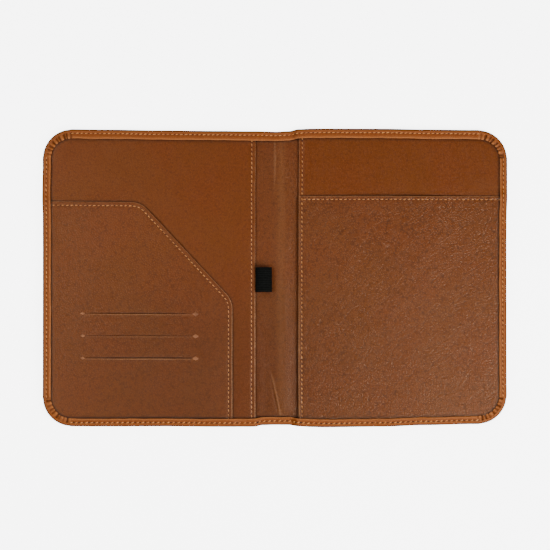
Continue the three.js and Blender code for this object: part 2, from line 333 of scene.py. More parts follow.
@dataclass(frozen=True)
class DocumentOutline:
    """The document pocket's cut: a level mouth, a slope, and a right edge down to the foot."""

    case: Layout
    width: float = 152.7
    height: float = 181.4
    mouth_width: float = 79.0
    slope_height: float = 78.8
    mouth_radius: float = 16.0
    edge_radius: float = 18.0

    @property
    def right(self) -> float:
        """Where the pocket's right edge is."""
        return self.width - self.case.side

    @property
    def mouth(self) -> float:
        """Where the pocket's mouth is."""
        return self.height - self.case.head

    def free_edge(self, inset: float, step: float = 1.0) -> Line:
        """Follow the pocket's free edge, drawn in by a distance.

        Args:
            inset: How far inside the edge to stay.
            step: The longest step between two points.

        Returns:
            Points from the foot of the right edge round to the left end of the mouth.
        """
        corners = [
            np.array([self.right, -self.case.head]),
            np.array([self.right, self.mouth - self.slope_height]),
            np.array([self.mouth_width - self.case.side, self.mouth]),
            np.array([-self.case.side, self.mouth]),
        ]
        radii = [0.0, self.edge_radius, self.mouth_radius, 0.0]
        points = []
        start = self.inwards(corners[0], corners[1], inset, corners[0])
        for k in (1, 2):
            before, here, after = corners[k - 1], corners[k], corners[k + 1]
            into, out = unit(here - before), unit(after - here)
            turn = math.acos(float(np.clip(into @ out, -1, 1)))
            reach = radii[k] * math.tan(turn / 2)
            centre = here - into * reach + left_of(into) * radii[k]
            points += straight(start, here - into * reach + left_of(into) * inset, step)
            first = math.atan2(*(-left_of(into))[::-1])
            radius = radii[k] - inset
            count = max(4, int(radius * turn / step))
            for j in range(count):
                angle = first + turn * j / count
                arm = np.array([math.cos(angle), math.sin(angle)])
                points.append(tuple(centre + radius * arm))
            start = here + out * reach + left_of(out) * inset
        end = self.inwards(corners[2], corners[3], inset, corners[3])
        return points + straight(start, end, step) + [tuple(end)]

    @staticmethod
    def inwards(start: Array, end: Array, inset: float, place: Array) -> Array:
        """Move a place to the left of a line's direction by an inset."""
        return place + left_of(unit(end - start)) * inset


def unit(vector: Array) -> Array:
    """Return a vector's direction."""
    return vector / np.linalg.norm(vector)


def left_of(direction: Array) -> Array:
    """Return the direction to the left of another."""
    return np.array([-direction[1], direction[0]])


def straight(start: Sequence[float], end: Sequence[float], step: float) -> Line:
    """Step along a line, without its last point.

    Args:
        start: The line's first point.
        end: The line's last point.
        step: The longest step between two points.

    Returns:
        The points from the first one on.
    """
    first, last = np.asarray(start, float), np.asarray(end, float)
    count = max(1, math.ceil(np.linalg.norm(last - first) / step))
    return [tuple(first + (last - first) * k / count) for k in range(count)]


def make_mesh(
    name: str, points: Array, faces: list, marks: dict[str, Array], finish: "Finish"
) -> Piece:
    """Make a smooth-shaded piece that rides on the case.

    Args:
        name: The piece's name.
        points: Its points in millimetres, one row each.
        faces: Its faces, as lists of point numbers.
        marks: Named values for each point, which its material reads.
        finish: The finish that it gets.

    Returns:
        The new object.
    """
    mesh = bpy.data.meshes.new(name)
    mesh.from_pydata((points * MM).tolist(), [], faces)
    for mark, values in marks.items():
        attribute = mesh.attributes.new(mark, "FLOAT", "POINT")
        attribute.data.foreach_set("value", np.asarray(values, np.float32))
    mesh.validate()
    mesh.shade_smooth()
    piece = bpy.data.objects.new(name, mesh)
    bpy.context.scene.collection.objects.link(piece)
    mesh.materials.append(finish.material())
    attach(piece, BODY)
    return piece


def ring_faces(rings: int, count: int, closed: bool = False) -> list[list[int]]:
    """Join rings of as many points each into a band of quads.

    Args:
        rings: How many rings there are.
        count: How many points each ring has.
        closed: Whether the last ring is joined to the first one.

    Returns:
        The quads, facing outwards for rings that run anticlockwise and upwards.
    """
    numbers = np.arange(rings * count).reshape(rings, count)
    low, high = (numbers, np.roll(numbers, -1, 0)) if closed else (numbers[:-1], numbers[1:])
    quads = np.stack([low, np.roll(low, -1, 1), np.roll(high, -1, 1), high], axis=-1)
    return quads.reshape(-1, 4).tolist()


# The rows of a grid of triangles, as a share of the distance between its points
ROW_SHARE = 0.87


@dataclass
class Sheet:
    """A flat-cut sheet of leather with a triangulated top, an underside and a wall around it."""

    outline: Line
    rings: list[Line]
    holes: list[Line]
    spacing: float
    clear: float

    def flat(self) -> tuple[Array, list[list[int]]]:
        """Triangulate the cut.

        Returns:
            The points and the triangles.
        """
        points: Line = []
        edges: list[tuple[int, int]] = []
        for loop in [self.outline, *self.holes]:
            first = len(points)
            points += loop
            edges += [(first + k, first + (k + 1) % len(loop)) for k in range(len(loop))]
        kept = np.array(points + [p for ring in self.rings for p in ring])
        low, high = kept.min(axis=0), kept.max(axis=0)
        xs = np.arange(low[0] + self.spacing, high[0], self.spacing)
        ys = np.arange(low[1] + self.spacing, high[1], self.spacing * ROW_SHARE)
        across, up = np.meshgrid(xs, ys)
        across = across + 0.5 * self.spacing * (np.arange(len(ys)) % 2)[:, None]
        grid = np.stack([across.ravel(), up.ravel()], axis=1)
        every = kept.tolist() + grid[self.far_from(grid, kept)].tolist()
        out = delaunay_2d_cdt([Vector(p) for p in every], edges, [], 2, 1e-5)
        return self.without_holes(np.array([tuple(v) for v in out[0]]), np.array(out[2]))

    def far_from(self, grid: Array, kept: Array) -> Array:
        """Pick the grid points that leave the kept points alone.

        Args:
            grid: The grid's points.
            kept: The points that stay.

        Returns:
            A mask over the grid.
        """
        cell = self.clear
        taken = {(int(a), int(b)) for a, b in np.floor(kept / cell)}
        near = [
            any((a + i, b + j) in taken for i in (-1, 0, 1) for j in (-1, 0, 1))
            for a, b in np.floor(grid / cell).astype(int)
        ]
        return ~np.array(near)

    def without_holes(self, flat: Array, faces: Array) -> tuple[Array, list[list[int]]]:
        """Drop what lies in a hole or outside the outline, and turn every triangle upwards.

        Args:
            flat: The points of the triangulation.
            faces: Its triangles.

        Returns:
            The points and triangles that are left.
        """
        middle = flat[faces].mean(axis=1)
        keep = within(middle, self.outline)
        for hole in self.holes:
            keep &= ~within(middle, hole)
        faces = faces[keep]
        a, b, c = flat[faces[:, 0]], flat[faces[:, 1]], flat[faces[:, 2]]
        turn = (b - a)[:, 0] * (c - a)[:, 1] - (b - a)[:, 1] * (c - a)[:, 0]
        real = np.abs(turn) > 1e-9
        faces, turn = faces[real], turn[real]
        faces[turn < 0] = faces[turn < 0][:, ::-1]
        used, numbers = np.unique(faces, return_inverse=True)
        return flat[used], numbers.reshape(-1, 3).tolist()

    def solid(
        self, case: Layout, top: Height, bottom: Height
    ) -> tuple[Array, list[list[int]], Array]:
        """Give the cut its thickness and lay it on the case.

        Args:
            case: How the case lies.
            top: The height of the top at each place.
            bottom: The height of the underside at each place.

        Returns:
            The points, the faces, and the flat place of each point.
        """
        flat, faces = self.flat()
        count = len(flat)
        across, up = flat[:, 0], flat[:, 1]
        moved = np.stack(case.lie(across, up), axis=1)
        high = np.column_stack([moved, top(across, up)])
        low = np.column_stack([moved, bottom(across, up)])
        under = [[f[0] + count, f[2] + count, f[1] + count] for f in faces]
        walls = [[b + count, b, a, a + count][::-1] for a, b in open_edges(faces)]
        return np.vstack([high, low]), faces + under + walls, np.vstack([flat, flat])


def open_edges(faces: list[list[int]]) -> list[tuple[int, int]]:
    """List the edges that only one face uses, in that face's direction.

    Args:
        faces: Triangles, as lists of point numbers.

    Returns:
        The edges, as pairs of point numbers.
    """
    seen = {(f[k], f[(k + 1) % 3]) for f in faces for k in range(3)}
    return sorted(e for e in seen if (e[1], e[0]) not in seen)


def within(points: Array, loop: Line) -> Array:
    """Tell which points lie inside a closed loop.

    Args:
        points: The points, one row each.
        loop: The loop's corners.

    Returns:
        A mask over the points.
    """
    corners = np.array(loop)
    inside = np.zeros(len(points), bool)
    x, y = points[:, 0], points[:, 1]
    for (ax, ay), (bx, by) in zip(corners, np.roll(corners, -1, axis=0)):
        if ay == by:
            continue
        crosses = (ay > y) != (by > y)
        inside ^= crosses & (x < ax + (y - ay) * (bx - ax) / (by - ay))
    return inside


class Graph:
    """Adds nodes to a tree and links them."""

    def __init__(self, tree: Tree) -> None:
        """Keep the tree that the nodes go into."""
        self.tree = tree

    def add(self, kind: str, inputs: dict | None = None, **settings: object) -> Node:
        """Add a node.

        Args:
            kind: The node's type.
            inputs: What each input gets, by its name or number: a socket to link, or a value.
            settings: The node's own settings.

        Returns:
            The new node.
        """
        node = self.tree.nodes.new(kind)
        for name, value in settings.items():
            setattr(node, name, value)
        for name, value in (inputs or {}).items():
            if isinstance(value, Socket):
                self.tree.links.new(value, node.inputs[name])
            else:
                node.inputs[name].default_value = value
        return node

    def math(self, operation: str, *values: object) -> Socket:
        """Add a math node and return its result."""
        return self.add("ShaderNodeMath", dict(enumerate(values)), operation=operation).outputs[0]

    def mark(self, name: str) -> Socket:
        """Read one of the values that a mesh keeps for each of its points."""
        return self.add("ShaderNodeAttribute", attribute_name=name).outputs["Fac"]

    def place(self) -> Socket:
        """Read the place in the object's own frame."""
        return self.add("ShaderNodeTexCoord").outputs["Object"]

    def bump(self, height: Socket, depth: float, shader: Node) -> None:
        """Press a relief into a shader.

        Args:
            height: The relief, from 0 to 1.
            depth: Its depth in metres.
            shader: The shader that gets it.
        """
        relief = self.add("ShaderNodeBump", {"Height": height, "Distance": depth})
        self.tree.links.new(relief.outputs[0], shader.inputs["Normal"])

    def ramp(
        self, value: object, low: object, high: object, to_low: object = 0.0, to_high: object = 1.0
    ) -> Socket:
        """Add an eased map from one range to another and return its result.

        Args:
            value: The value to map.
            low: The start of its range.
            high: The end of its range.
            to_low: What the start becomes.
            to_high: What the end becomes.

        Returns:
            The mapped value.
        """
        sockets = {
            "Value": value, "From Min": low, "From Max": high, "To Min": to_low, "To Max": to_high,
        }
        node = self.add("ShaderNodeMapRange", sockets, interpolation_type="SMOOTHSTEP")
        return node.outputs["Result"]

    def blend(self, share: object, first: object, second: object) -> Socket:
        """Add a colour mix and return its result.

        Args:
            share: How much of the second colour there is.
            first: The first colour.
            second: The second colour.

        Returns:
            The mixed colour.
        """
        node = self.add("ShaderNodeMix", {0: share, 6: first, 7: second}, data_type="RGBA")
        return node.outputs[2]

    def texture(self, vector: Socket, scale: object, **inputs: float) -> Node:
        """Add a noise texture.

        Args:
            vector: The place to read it at.
            scale: Its scale.
            inputs: Its other inputs, by name in lower case.

        Returns:
            The texture node.
        """
        sockets = {name.capitalize(): value for name, value in inputs.items()}
        return self.add("ShaderNodeTexNoise", {"Vector": vector, "Scale": scale, **sockets})


def new_group(
    name: str, kind: str, inputs: dict[str, tuple[str, object]], outputs: dict[str, str]
) -> tuple[Tree, Graph, Node, Node]:
    """Start a node group with named sockets.

    Args:
        name: The group's name.
        kind: The type of tree.
        inputs: Each input's socket type and default value, or None for a value.
        outputs: Each output's socket type.

    Returns:
        The tree, its graph, its input node and its output node.
    """
    tree = bpy.data.node_groups.new(name, kind)
    for label, (socket, value) in inputs.items():
        made = tree.interface.new_socket(label, in_out="INPUT", socket_type=socket)
        if value is not None:
            made.default_value = value
    for label, socket in outputs.items():
        tree.interface.new_socket(label, in_out="OUTPUT", socket_type=socket)
    graph = Graph(tree)
    return tree, graph, graph.add("NodeGroupInput"), graph.add("NodeGroupOutput")


class SharedEffects:
    """The shader groups that more than one leather uses, each built once."""

    CREASE_SLANT = 0.66
    CREASE_STRETCH = 3.4
    WANDER = 0.0009

    @classmethod
    @cache
    def grain(cls) -> Tree:
        """Build the pebbled grain of leather.

        Returns:
            A group that puts out a height, and a mask of the creases between the pebbles.
        """
        inputs = {
            "Vector": ("NodeSocketVector", None),
            "Pebbles": ("NodeSocketFloat", 1100.0),
            "Wrinkle": ("NodeSocketFloat", 0.3),
        }
        outputs = {"Height": "NodeSocketFloat", "Crease": "NodeSocketFloat"}
        tree, g, given, out = new_group("leather_grain", "ShaderNodeTree", inputs, outputs)
        vector, pebbles, wrinkle = given.outputs[0], given.outputs[1], given.outputs[2]
        wander = g.texture(vector, g.math("MULTIPLY", pebbles, 0.35), detail=2.0)
        offset = g.add("ShaderNodeVectorMath", {0: wander.outputs["Color"], 1: (0.5, 0.5, 0.5)},
                       operation="SUBTRACT")
        shift = g.add("ShaderNodeVectorMath", {0: offset.outputs[0], "Scale": cls.WANDER},
                      operation="SCALE")
        bent = g.add("ShaderNodeVectorMath", {0: vector, 1: shift.outputs[0]}, operation="ADD")
        cells = g.add("ShaderNodeTexVoronoi", {"Vector": bent.outputs[0], "Scale": pebbles},
                      feature="DISTANCE_TO_EDGE")
        dome = g.ramp(cells.outputs["Distance"], 0.0, 0.36)
        crease = g.ramp(cells.outputs["Distance"], 0.0, 0.2, 1.0, 0.0)
        lumps = g.texture(bent.outputs[0], g.math("MULTIPLY", pebbles, 0.6), detail=2.0)
        lump = g.ramp(lumps.outputs[0], 0.3, 0.7)
        turned = g.add(
            "ShaderNodeMapping",
            {"Vector": vector, "Rotation": (0.0, 0.0, cls.CREASE_SLANT),
             "Scale": (cls.CREASE_STRETCH, 1.0, 1.0)},
            vector_type="TEXTURE",
        )
        folds = g.texture(turned.outputs[0], g.math("MULTIPLY", pebbles, 0.17), detail=2.0,
                          roughness=0.5, distortion=0.7)
        ridge = g.math("ABSOLUTE", g.math("SUBTRACT", folds.outputs[0], 0.5))
        fold = g.ramp(ridge, 0.0, 0.035, 1.0, 0.0)
        patches = g.texture(vector, g.math("MULTIPLY", pebbles, 0.035), detail=2.0)
        fold = g.math("MULTIPLY", fold, g.ramp(patches.outputs[0], 0.38, 0.62))
        height = g.math("ADD", g.math("MULTIPLY", dome, 0.75), g.math("MULTIPLY", lump, 0.3))
        height = g.math("SUBTRACT", height, g.math("MULTIPLY", fold, wrinkle))
        dark = g.math("MULTIPLY", crease, g.ramp(lump, 0.0, 1.0, 1.0, 0.35))
        dark = g.math("MAXIMUM", dark, g.math("MULTIPLY", fold, wrinkle))
        tree.links.new(height, out.inputs["Height"])
        tree.links.new(dark, out.inputs["Crease"])
        return tree

    @classmethod
    @cache
    def tone(cls) -> Tree:
        """Build the uneven take of the dye.

        Returns:
            A group that puts out broad clouds and small mottles, each from 0 to 1.
        """
        inputs = {"Vector": ("NodeSocketVector", None), "Size": ("NodeSocketFloat", 0.05)}
        outputs = {"Clouds": "NodeSocketFloat", "Mottle": "NodeSocketFloat"}
        tree, g, given, out = new_group("dye_tone", "ShaderNodeTree", inputs, outputs)
        vector, size = given.outputs[0], given.outputs[1]
        scale = g.math("DIVIDE", 1.0, size)
        clouds = g.texture(vector, scale, detail=3.0, roughness=0.55)
        mottle = g.texture(vector, g.math("MULTIPLY", scale, 34.0), detail=2.0, roughness=0.5)
        tree.links.new(g.ramp(clouds.outputs[0], 0.3, 0.7), out.inputs["Clouds"])
        tree.links.new(g.ramp(mottle.outputs[0], 0.32, 0.68), out.inputs["Mottle"])
        return tree


def toned(colour: Colour, share: float) -> Colour:
    """Return a colour made darker or lighter by a share."""
    return tuple(share * c for c in colour[:3]) + (1.0,)


@dataclass(frozen=True)
class Finish:
    """A named finish, whose material is built once, and the slot that offers it, if any."""

    name: str
    slot: str | None = None

    @cache
    def material(self) -> bpy.types.Material:
        """Build the finish's material, the first time that it is asked for.

        Returns:
            The material.
        """
        material = bpy.data.materials.new(self.name)
        material.use_nodes = True
        material.node_tree.nodes.clear()
        graph = Graph(material.node_tree)
        shader = graph.add("ShaderNodeBsdfPrincipled")
        out = graph.add("ShaderNodeOutputMaterial", {"Surface": shader.outputs[0]})
        out.is_active_output = True
        self.dress(graph, shader)
        return material

    def dress(self, g: Graph, shader: Node) -> None:
        """Add the finish's own nodes to the graph of a plain shader."""
        raise NotImplementedError


@dataclass(frozen=True, kw_only=True)
class LeatherFinish(Finish):
    """Dyed leather: grain, uneven dye, rubbed edges with painted highlight, painted shade in creases.
    """

    dark: Colour
    light: Colour
    drift: Colour
    # Edges take this colour where they are rubbed, and it also paints their highlight
    highlight_and_rub_colour: Colour
    pebbles: float
    wrinkle: float
    depth: float
    smoothest: float
    roughest: float
    cloud_size: float = 0.05
    pits: float = 0.6
    pit_tone: float = 0.45
    pit_rough: float = 0.12
    # How dark the painted shade goes, as a share of the dark colour
    deepest: float = 0.12
    gloss: Colour = (1.0, 0.72, 0.52, 1.0)
    shine: float = 0.35

    def dress(self, g: Graph, shader: Node) -> None:
        """Feed the shader's colour, roughness and bump from the shared groups.

        Args:
            g: The material's graph.
            shader: Its shader.
        """
        place = g.place()
        grain = g.add("ShaderNodeGroup", node_tree=SharedEffects.grain())
        g.tree.links.new(place, grain.inputs["Vector"])
        grain.inputs["Pebbles"].default_value = self.pebbles
        grain.inputs["Wrinkle"].default_value = self.wrinkle
        tone = g.add("ShaderNodeGroup", node_tree=SharedEffects.tone())
        g.tree.links.new(place, tone.inputs["Vector"])
        tone.inputs["Size"].default_value = self.cloud_size
        colour = g.blend(tone.outputs["Mottle"], self.dark, self.light)
        colour = g.blend(g.math("MULTIPLY", tone.outputs["Clouds"], 0.6), colour, self.drift)
        pits = g.math("MULTIPLY", grain.outputs["Crease"], self.pits)
        colour = g.blend(pits, colour, toned(self.dark, self.pit_tone))
        # Edges lighten with rubbing and a painted highlight, then painted shade darkens gutters,
        # grooves and folds
        highlight_and_rub = g.math("MULTIPLY", g.mark("highlight_and_wear"), g.ramp(tone.outputs["Mottle"], 0.0, 1.0, 0.65, 1.0))
        colour = g.blend(highlight_and_rub, colour, self.highlight_and_rub_colour)
        colour = g.blend(g.mark("shade"), colour, toned(self.dark, self.deepest))
        g.tree.links.new(colour, shader.inputs["Base Color"])
        rough = g.ramp(tone.outputs["Mottle"], 0.0, 1.0, self.smoothest, self.roughest)
        rough = g.math("ADD", rough, g.math("MULTIPLY", grain.outputs["Crease"], self.pit_rough))
        g.tree.links.new(rough, shader.inputs["Roughness"])
        g.bump(grain.outputs["Height"], self.depth, shader)
        shader.inputs["Specular IOR Level"].default_value = self.shine
        shader.inputs["Specular Tint"].default_value = self.gloss


@dataclass(frozen=True)
class ThreadFinish(Finish):
    """Waxed sewing thread, with fibres along its strands."""

    dark: Colour = (0.34, 0.11, 0.02, 1.0)
    light: Colour = (0.66, 0.27, 0.06, 1.0)
    fibre: float = 5200.0
    batch: float = 160.0
    fuzz: float = 0.00005

    def dress(self, g: Graph, shader: Node) -> None:
        """Mottle the thread and roughen it with fibres.

        Args:
            g: The material's graph.
            shader: Its shader.
        """
        place = g.place()
        fibres = g.texture(place, self.fibre, detail=2.0)
        batch = g.texture(place, self.batch, detail=1.0)
        share = g.math("ADD", g.math("MULTIPLY", fibres.outputs[0], 0.45),
                       g.math("MULTIPLY", batch.outputs[0], 0.55))
        colour = g.blend(g.ramp(share, 0.35, 0.62), self.dark, self.light)
        g.tree.links.new(colour, shader.inputs["Base Color"])
        g.bump(fibres.outputs[0], self.fuzz, shader)
        shader.inputs["Roughness"].default_value = 0.6


@dataclass(frozen=True)
class HoleShadowFinish(Finish):
    """The painted shadow inside an awl hole."""

    colour: Colour = (0.012, 0.004, 0.002, 1.0)
    grit: float = 1800.0

    def dress(self, g: Graph, shader: Node) -> None:
        """Darken the hole's painted shadow unevenly.

        Args:
            g: The material's graph.
            shader: Its shader.
        """
        place = g.place()
        grit = g.texture(place, self.grit, detail=2.0)
        colour = g.blend(grit.outputs[0], self.colour, toned(self.colour, 2.2))
        g.tree.links.new(colour, shader.inputs["Base Color"])
        shader.inputs["Roughness"].default_value = 0.9


@dataclass(frozen=True)
class ElasticFinish(Finish):
    """Black woven elastic, with a painted highlight on its ribs, and fine picks across them."""

    dark: Colour = (0.0004, 0.0004, 0.0004, 1.0)
    # The colour of the painted highlight on the rib crests
    light: Colour = (0.0085, 0.0098, 0.0082, 1.0)
    picks: float = 2200.0
    lint: float = 900.0
    depth: float = 0.00005

    # Bands of a wave texture of scale 1 repeat this many times in each turn of a circle
    BANDS = 20.0

    def dress(self, g: Graph, shader: Node) -> None:
        """Weave the ribs and the picks into the colour and the relief.

        Args:
            g: The material's graph.
            shader: Its shader.
        """
        place = g.place()
        lint = g.texture(place, self.lint, detail=2.0)
        weave = g.add(
            "ShaderNodeTexWave",
            {"Vector": place, "Scale": self.picks * math.tau / self.BANDS, "Distortion": 0.6,
             "Detail": 1.0},
            wave_type="BANDS", bands_direction="X",
        )
        yarn = g.ramp(weave.outputs["Fac"], 0.0, 1.0, 0.7, 1.0)
        # The rib crests get a painted highlight
        yarn = g.math("MULTIPLY", g.mark("highlight_and_wear"), yarn)
        share = g.math("MULTIPLY", yarn, g.ramp(lint.outputs[0], 0.3, 0.7, 0.6, 1.0))
        g.tree.links.new(g.blend(share, self.dark, self.light), shader.inputs["Base Color"])
        g.bump(weave.outputs["Fac"], self.depth, shader)
        shader.inputs["Roughness"].default_value = 0.85
        shader.inputs["Specular IOR Level"].default_value = 0.06


@dataclass(frozen=True)
class FloorFinish(Finish):
    """A plain, pale, matt floor, which glows a little, as a light table does."""

    colour: Colour = (0.9, 0.9, 0.9, 1.0)
    glow: float = 5.5

    def dress(self, g: Graph, shader: Node) -> None:
        """Set the floor's colour and glow.

        Args:
            g: The material's graph.
            shader: Its shader.
        """
        shader.inputs["Base Color"].default_value = self.colour
        shader.inputs["Emission Color"].default_value = (1.0, 1.0, 1.0, 1.0)
        shader.inputs["Emission Strength"].default_value = self.glow
        shader.inputs["Roughness"].default_value = 0.9
        shader.inputs["Specular IOR Level"].default_value = 0.1


COVER = LeatherFinish(
    "cognac_cover_leather", "cover_leather",
    dark=(0.15, 0.029, 0.0016, 1.0), light=(0.22, 0.047, 0.0035, 1.0),
    drift=(0.185, 0.0425, 0.0025, 1.0), highlight_and_rub_colour=(0.46, 0.155, 0.04, 1.0),
    pebbles=1300.0, wrinkle=0.2, depth=0.00006, smoothest=0.38, roughest=0.5, cloud_size=0.03,
    gloss=(1.0, 0.7, 0.48, 1.0),
)
INSIDE = LeatherFinish(
    "chestnut_inside_leather", "inside_leather",
    dark=(0.105, 0.0212, 0.0018, 1.0), light=(0.13, 0.028, 0.003, 1.0),
    drift=(0.11, 0.0275, 0.0018, 1.0), highlight_and_rub_colour=(0.72, 0.34, 0.14, 1.0),
    pebbles=700.0, wrinkle=0.25, depth=0.00008, smoothest=0.28, roughest=0.38, shine=0.38,
)
POCKET = replace(
    INSIDE, name="pebbled_pocket_leather", pebbles=600.0, wrinkle=0.16, depth=0.00012,
    smoothest=0.31, roughest=0.43, pits=0.75,
)
CREASED = replace(
    POCKET, name="creased_pocket_leather", pebbles=520.0, wrinkle=0.3, depth=0.00017,
    smoothest=0.32, roughest=0.44, pits=0.95,
)
SUPPLE = replace(
    INSIDE, name="supple_spine_leather", depth=0.00014, smoothest=0.31, roughest=0.43,
    pits=0.85, shine=0.32,
)
THREAD = ThreadFinish("tan_thread")
TACK_THREAD = ThreadFinish(
    "brown_tack_thread", dark=(0.15, 0.045, 0.01, 1.0), light=(0.3, 0.11, 0.035, 1.0),
)
HOLE_SHADOW = HoleShadowFinish("awl_hole_shadow")
ELASTIC = ElasticFinish("black_elastic", "elastic")


@dataclass
class OuterCover:
    """The outer leather, folded in over the panels as a rim and gathered at its corners."""

    case: Layout
    step: float = 0.9
    corner_steps: int = 120
    roll: float = 2.7
    roll_power: float = 2.4
    roll_steps: int = 15
    # The rolled edge's painted shade towards the floor, and its painted highlight near its top
    roll_shade: float = 0.62
    roll_shade_ends: tuple[float, float] = (30.0, 64.0)
    roll_highlight: float = 0.24
    roll_highlight_turn: float = 74.0
    roll_highlight_width: float = 12.0
    face_steps: int = 13
    sway: float = 0.07
    sway_size: float = 23.0
    lip_sway: float = 0.16
    lip_size: float = 9.0
    stitch_dip: float = 0.34
    stitch_width: float = 0.62
    pucker: float = 0.09
    pleats: int = 9
    pleat_depth: float = 1.0
    pleat_start: float = 2.7
    pleat_seed: int = 41
    pleat_jitter: float = 0.24
    pleat_depths: tuple[float, float] = (0.42, 1.1)
    pleat_slopes: tuple[float, float] = (0.15, 0.33)
    corner_draw: float = 0.3
    pitches: tuple[float, ...] = (3.62, 3.62, 3.62, 4.05)
    outside_groove: float = 0.34
    outside_width: float = 0.34
    inner: float = 1.0
    inner_edge: float = 0.6

    def __post_init__(self) -> None:
        """Place the stations round the case, anticlockwise from the foot of the right side."""
        case = self.case
        far_x, far_y = case.side - case.corner_radius, case.head - case.corner_radius
        rims = [case.rim_right, case.rim_top, case.rim_left, case.rim_bottom]
        starts = [(case.side, -far_y), (far_x, case.head), (-case.side, far_y), (-far_x, -case.head)]
        ends = [(case.side, far_y), (-far_x, case.head), (-case.side, -far_y), (far_x, -case.head)]
        rows = []
        for k, (start, end) in enumerate(zip(starts, ends)):
            angle = math.pi / 2 * k
            for x, y in straight(start, end, self.step):
                rows.append((x, y, angle, rims[k], -1.0, k))
            centre = (math.copysign(far_x, end[0]), math.copysign(far_y, end[1]))
            for j in range(self.corner_steps):
                share = j / self.corner_steps
                turned = angle + math.pi / 2 * share
                x = centre[0] + case.corner_radius * math.cos(turned)
                y = centre[1] + case.corner_radius * math.sin(turned)
                rim = rims[k] + (rims[(k + 1) % 4] - rims[k]) * smooth(share)
                rows.append((x, y, turned, rim, share, k))
        table = np.array(rows)
        self.x, self.y = table[:, 0], table[:, 1]
        self.in_x, self.in_y = -np.cos(table[:, 2]), -np.sin(table[:, 2])
        self.rim, self.share, self.corner = table[:, 3], table[:, 4], table[:, 5]
        self.top = self.stack_top() + case.gap + case.cover_leather
        self.top = self.top + self.sway * soft_noise(self.x, self.y, self.sway_size, Swell.RIM)
        self.groove = self.pleat_grooves()
        self.beat = self.stitch_beat()

    def stack_top(self) -> Array:
        """Work out the height of what the rim lies on.

        Returns:
            The height at each station.
        """
        case = self.case
        outline = DocumentOutline(case)

        def fade(beyond: Array) -> Array:
            """Return 1 inside a limit, and 0 from one rim step beyond it."""
            return 1 - smooth((beyond - case.gap) / case.rim_step)

        panels = np.maximum(fade(self.x - case.left_edge), fade(case.right_edge - self.x))
        documents = fade(self.x - outline.right) * fade(self.y - outline.mouth)
        notepad = fade(case.right_edge - self.x) * fade(self.y - NotepadPocket(case).mouth)
        pockets = np.maximum(documents, notepad)
        rise = (case.panel_top - case.lining_top) * panels
        return case.lining_top + rise + (case.pocket_top - case.panel_top) * pockets

    def pleat_grooves(self) -> Array:
        """Work out the gathers' grooves.

        Returns:
            The groove's depth at each station, from 0 to about 1.
        """
        grooves = np.zeros(len(self.x))
        for corner in range(4):
            draw = np.random.default_rng(self.pleat_seed + corner)
            for k in range(self.pleats + 1):
                place = (k + draw.uniform(-self.pleat_jitter, self.pleat_jitter)) / self.pleats
                deep = draw.uniform(*self.pleat_depths)
                apart = (self.share - place) * self.pleats
                here = (self.corner == corner) & (self.share >= 0)
                slope = bump(apart, np.where(apart < 0, *self.pleat_slopes))
                grooves = np.maximum(grooves, np.where(here, deep * slope, 0.0))
        return grooves

    def runs(self) -> list[Array]:
        """Return the numbers of the stations on each straight side."""
        return [np.flatnonzero((self.corner == k) & (self.share < 0)) for k in range(4)]

    def row(self, inset: Array | float, height: Array | float) -> Array:
        """Draw a row of points round the case.

        Args:
            inset: How far inside the outline it runs.
            height: How high it runs.

        Returns:
            The row's point at each station, where the case lies.
        """
        x, y = self.case.lie(self.x + self.in_x * inset, self.y + self.in_y * inset)
        return np.column_stack([x, y, height * np.ones(len(x))])

    def stitch_line(self, run: Array) -> Array:
        """Return the line that the stitches of one straight side follow."""
        return self.row(self.case.stitch_inset, self.top - self.stitch_dip)[run]

    def outside_line(self) -> Array:
        """Return the line that the stitches follow round the outside, in its groove."""
        return self.row(self.case.stitch_inset, self.outside_groove)

    def stitch_beat(self) -> Array:
        """Work out the beat of the stitches.

        Returns:
            1 at each stitch's middle and 0 at its holes, for every station.
        """
        beat = np.full(len(self.x), 0.5)
        for run, pitch in zip(self.runs(), self.pitches):
            line = self.stitch_line(run)
            steps = np.linalg.norm(np.diff(line[:, :2], axis=0), axis=1)
            walk = np.concatenate([[0.0], np.cumsum(steps)])
            beat[run] += 0.5 * np.cos(2 * np.pi * walk / pitch)
        return beat

    def rim_rows(self) -> list[tuple[Array | float, Array | float, float, float]]:
        """Work out the rim's section, from the underside out, over and in to the case's floor.

        Returns:
            For each row its insets and heights, its painted highlight with rubbing, and its painted
            shade.
        """
        rows = []
        for aside in (3.0, 0.75, 0.5, 0.25, 0.0, -0.3, -0.55):
            groove = float(bump(aside, self.outside_width))
            height = self.outside_groove * groove
            # The outside stitch groove gets painted shade
            rows.append((self.case.stitch_inset + aside, height, 0.0, 0.4 * groove))
        for turn in np.linspace(-90, 90, self.roll_steps):
            sine, cosine = math.sin(math.radians(turn)), math.cos(math.radians(turn))
            out = abs(cosine) ** (2 / self.roll_power)
            lift = math.copysign(abs(sine) ** (2 / self.roll_power), sine)
            # Painted shade on the roll's lower part, and a painted highlight near its top
            start, end = self.roll_shade_ends
            shade = self.roll_shade * (1 - smooth((turn - start) / (end - start)))
            highlight_and_rub = self.roll_highlight * bump(turn - self.roll_highlight_turn, self.roll_highlight_width)
            rows.append((self.roll * (1 - out), self.top / 2 * (1 + lift), highlight_and_rub, shade))
        lip = self.rim + self.lip_sway * soft_noise(self.x, self.y, self.lip_size, Swell.LIP)
        lip = lip - 0.55 * self.groove + 0.2 * (self.share >= 0)
        first, last = self.roll + 0.15, lip - 0.75
        for k in range(self.face_steps):
            inset = first + (last - first) * k / (self.face_steps - 1)
            # The face's rows nearest the lip get a painted highlight
            rows.append((inset, self.rim_height(inset), 0.34 * smooth((k - 8.5) / 3), 0.0))
        pleated = self.pleat_depth * self.groove
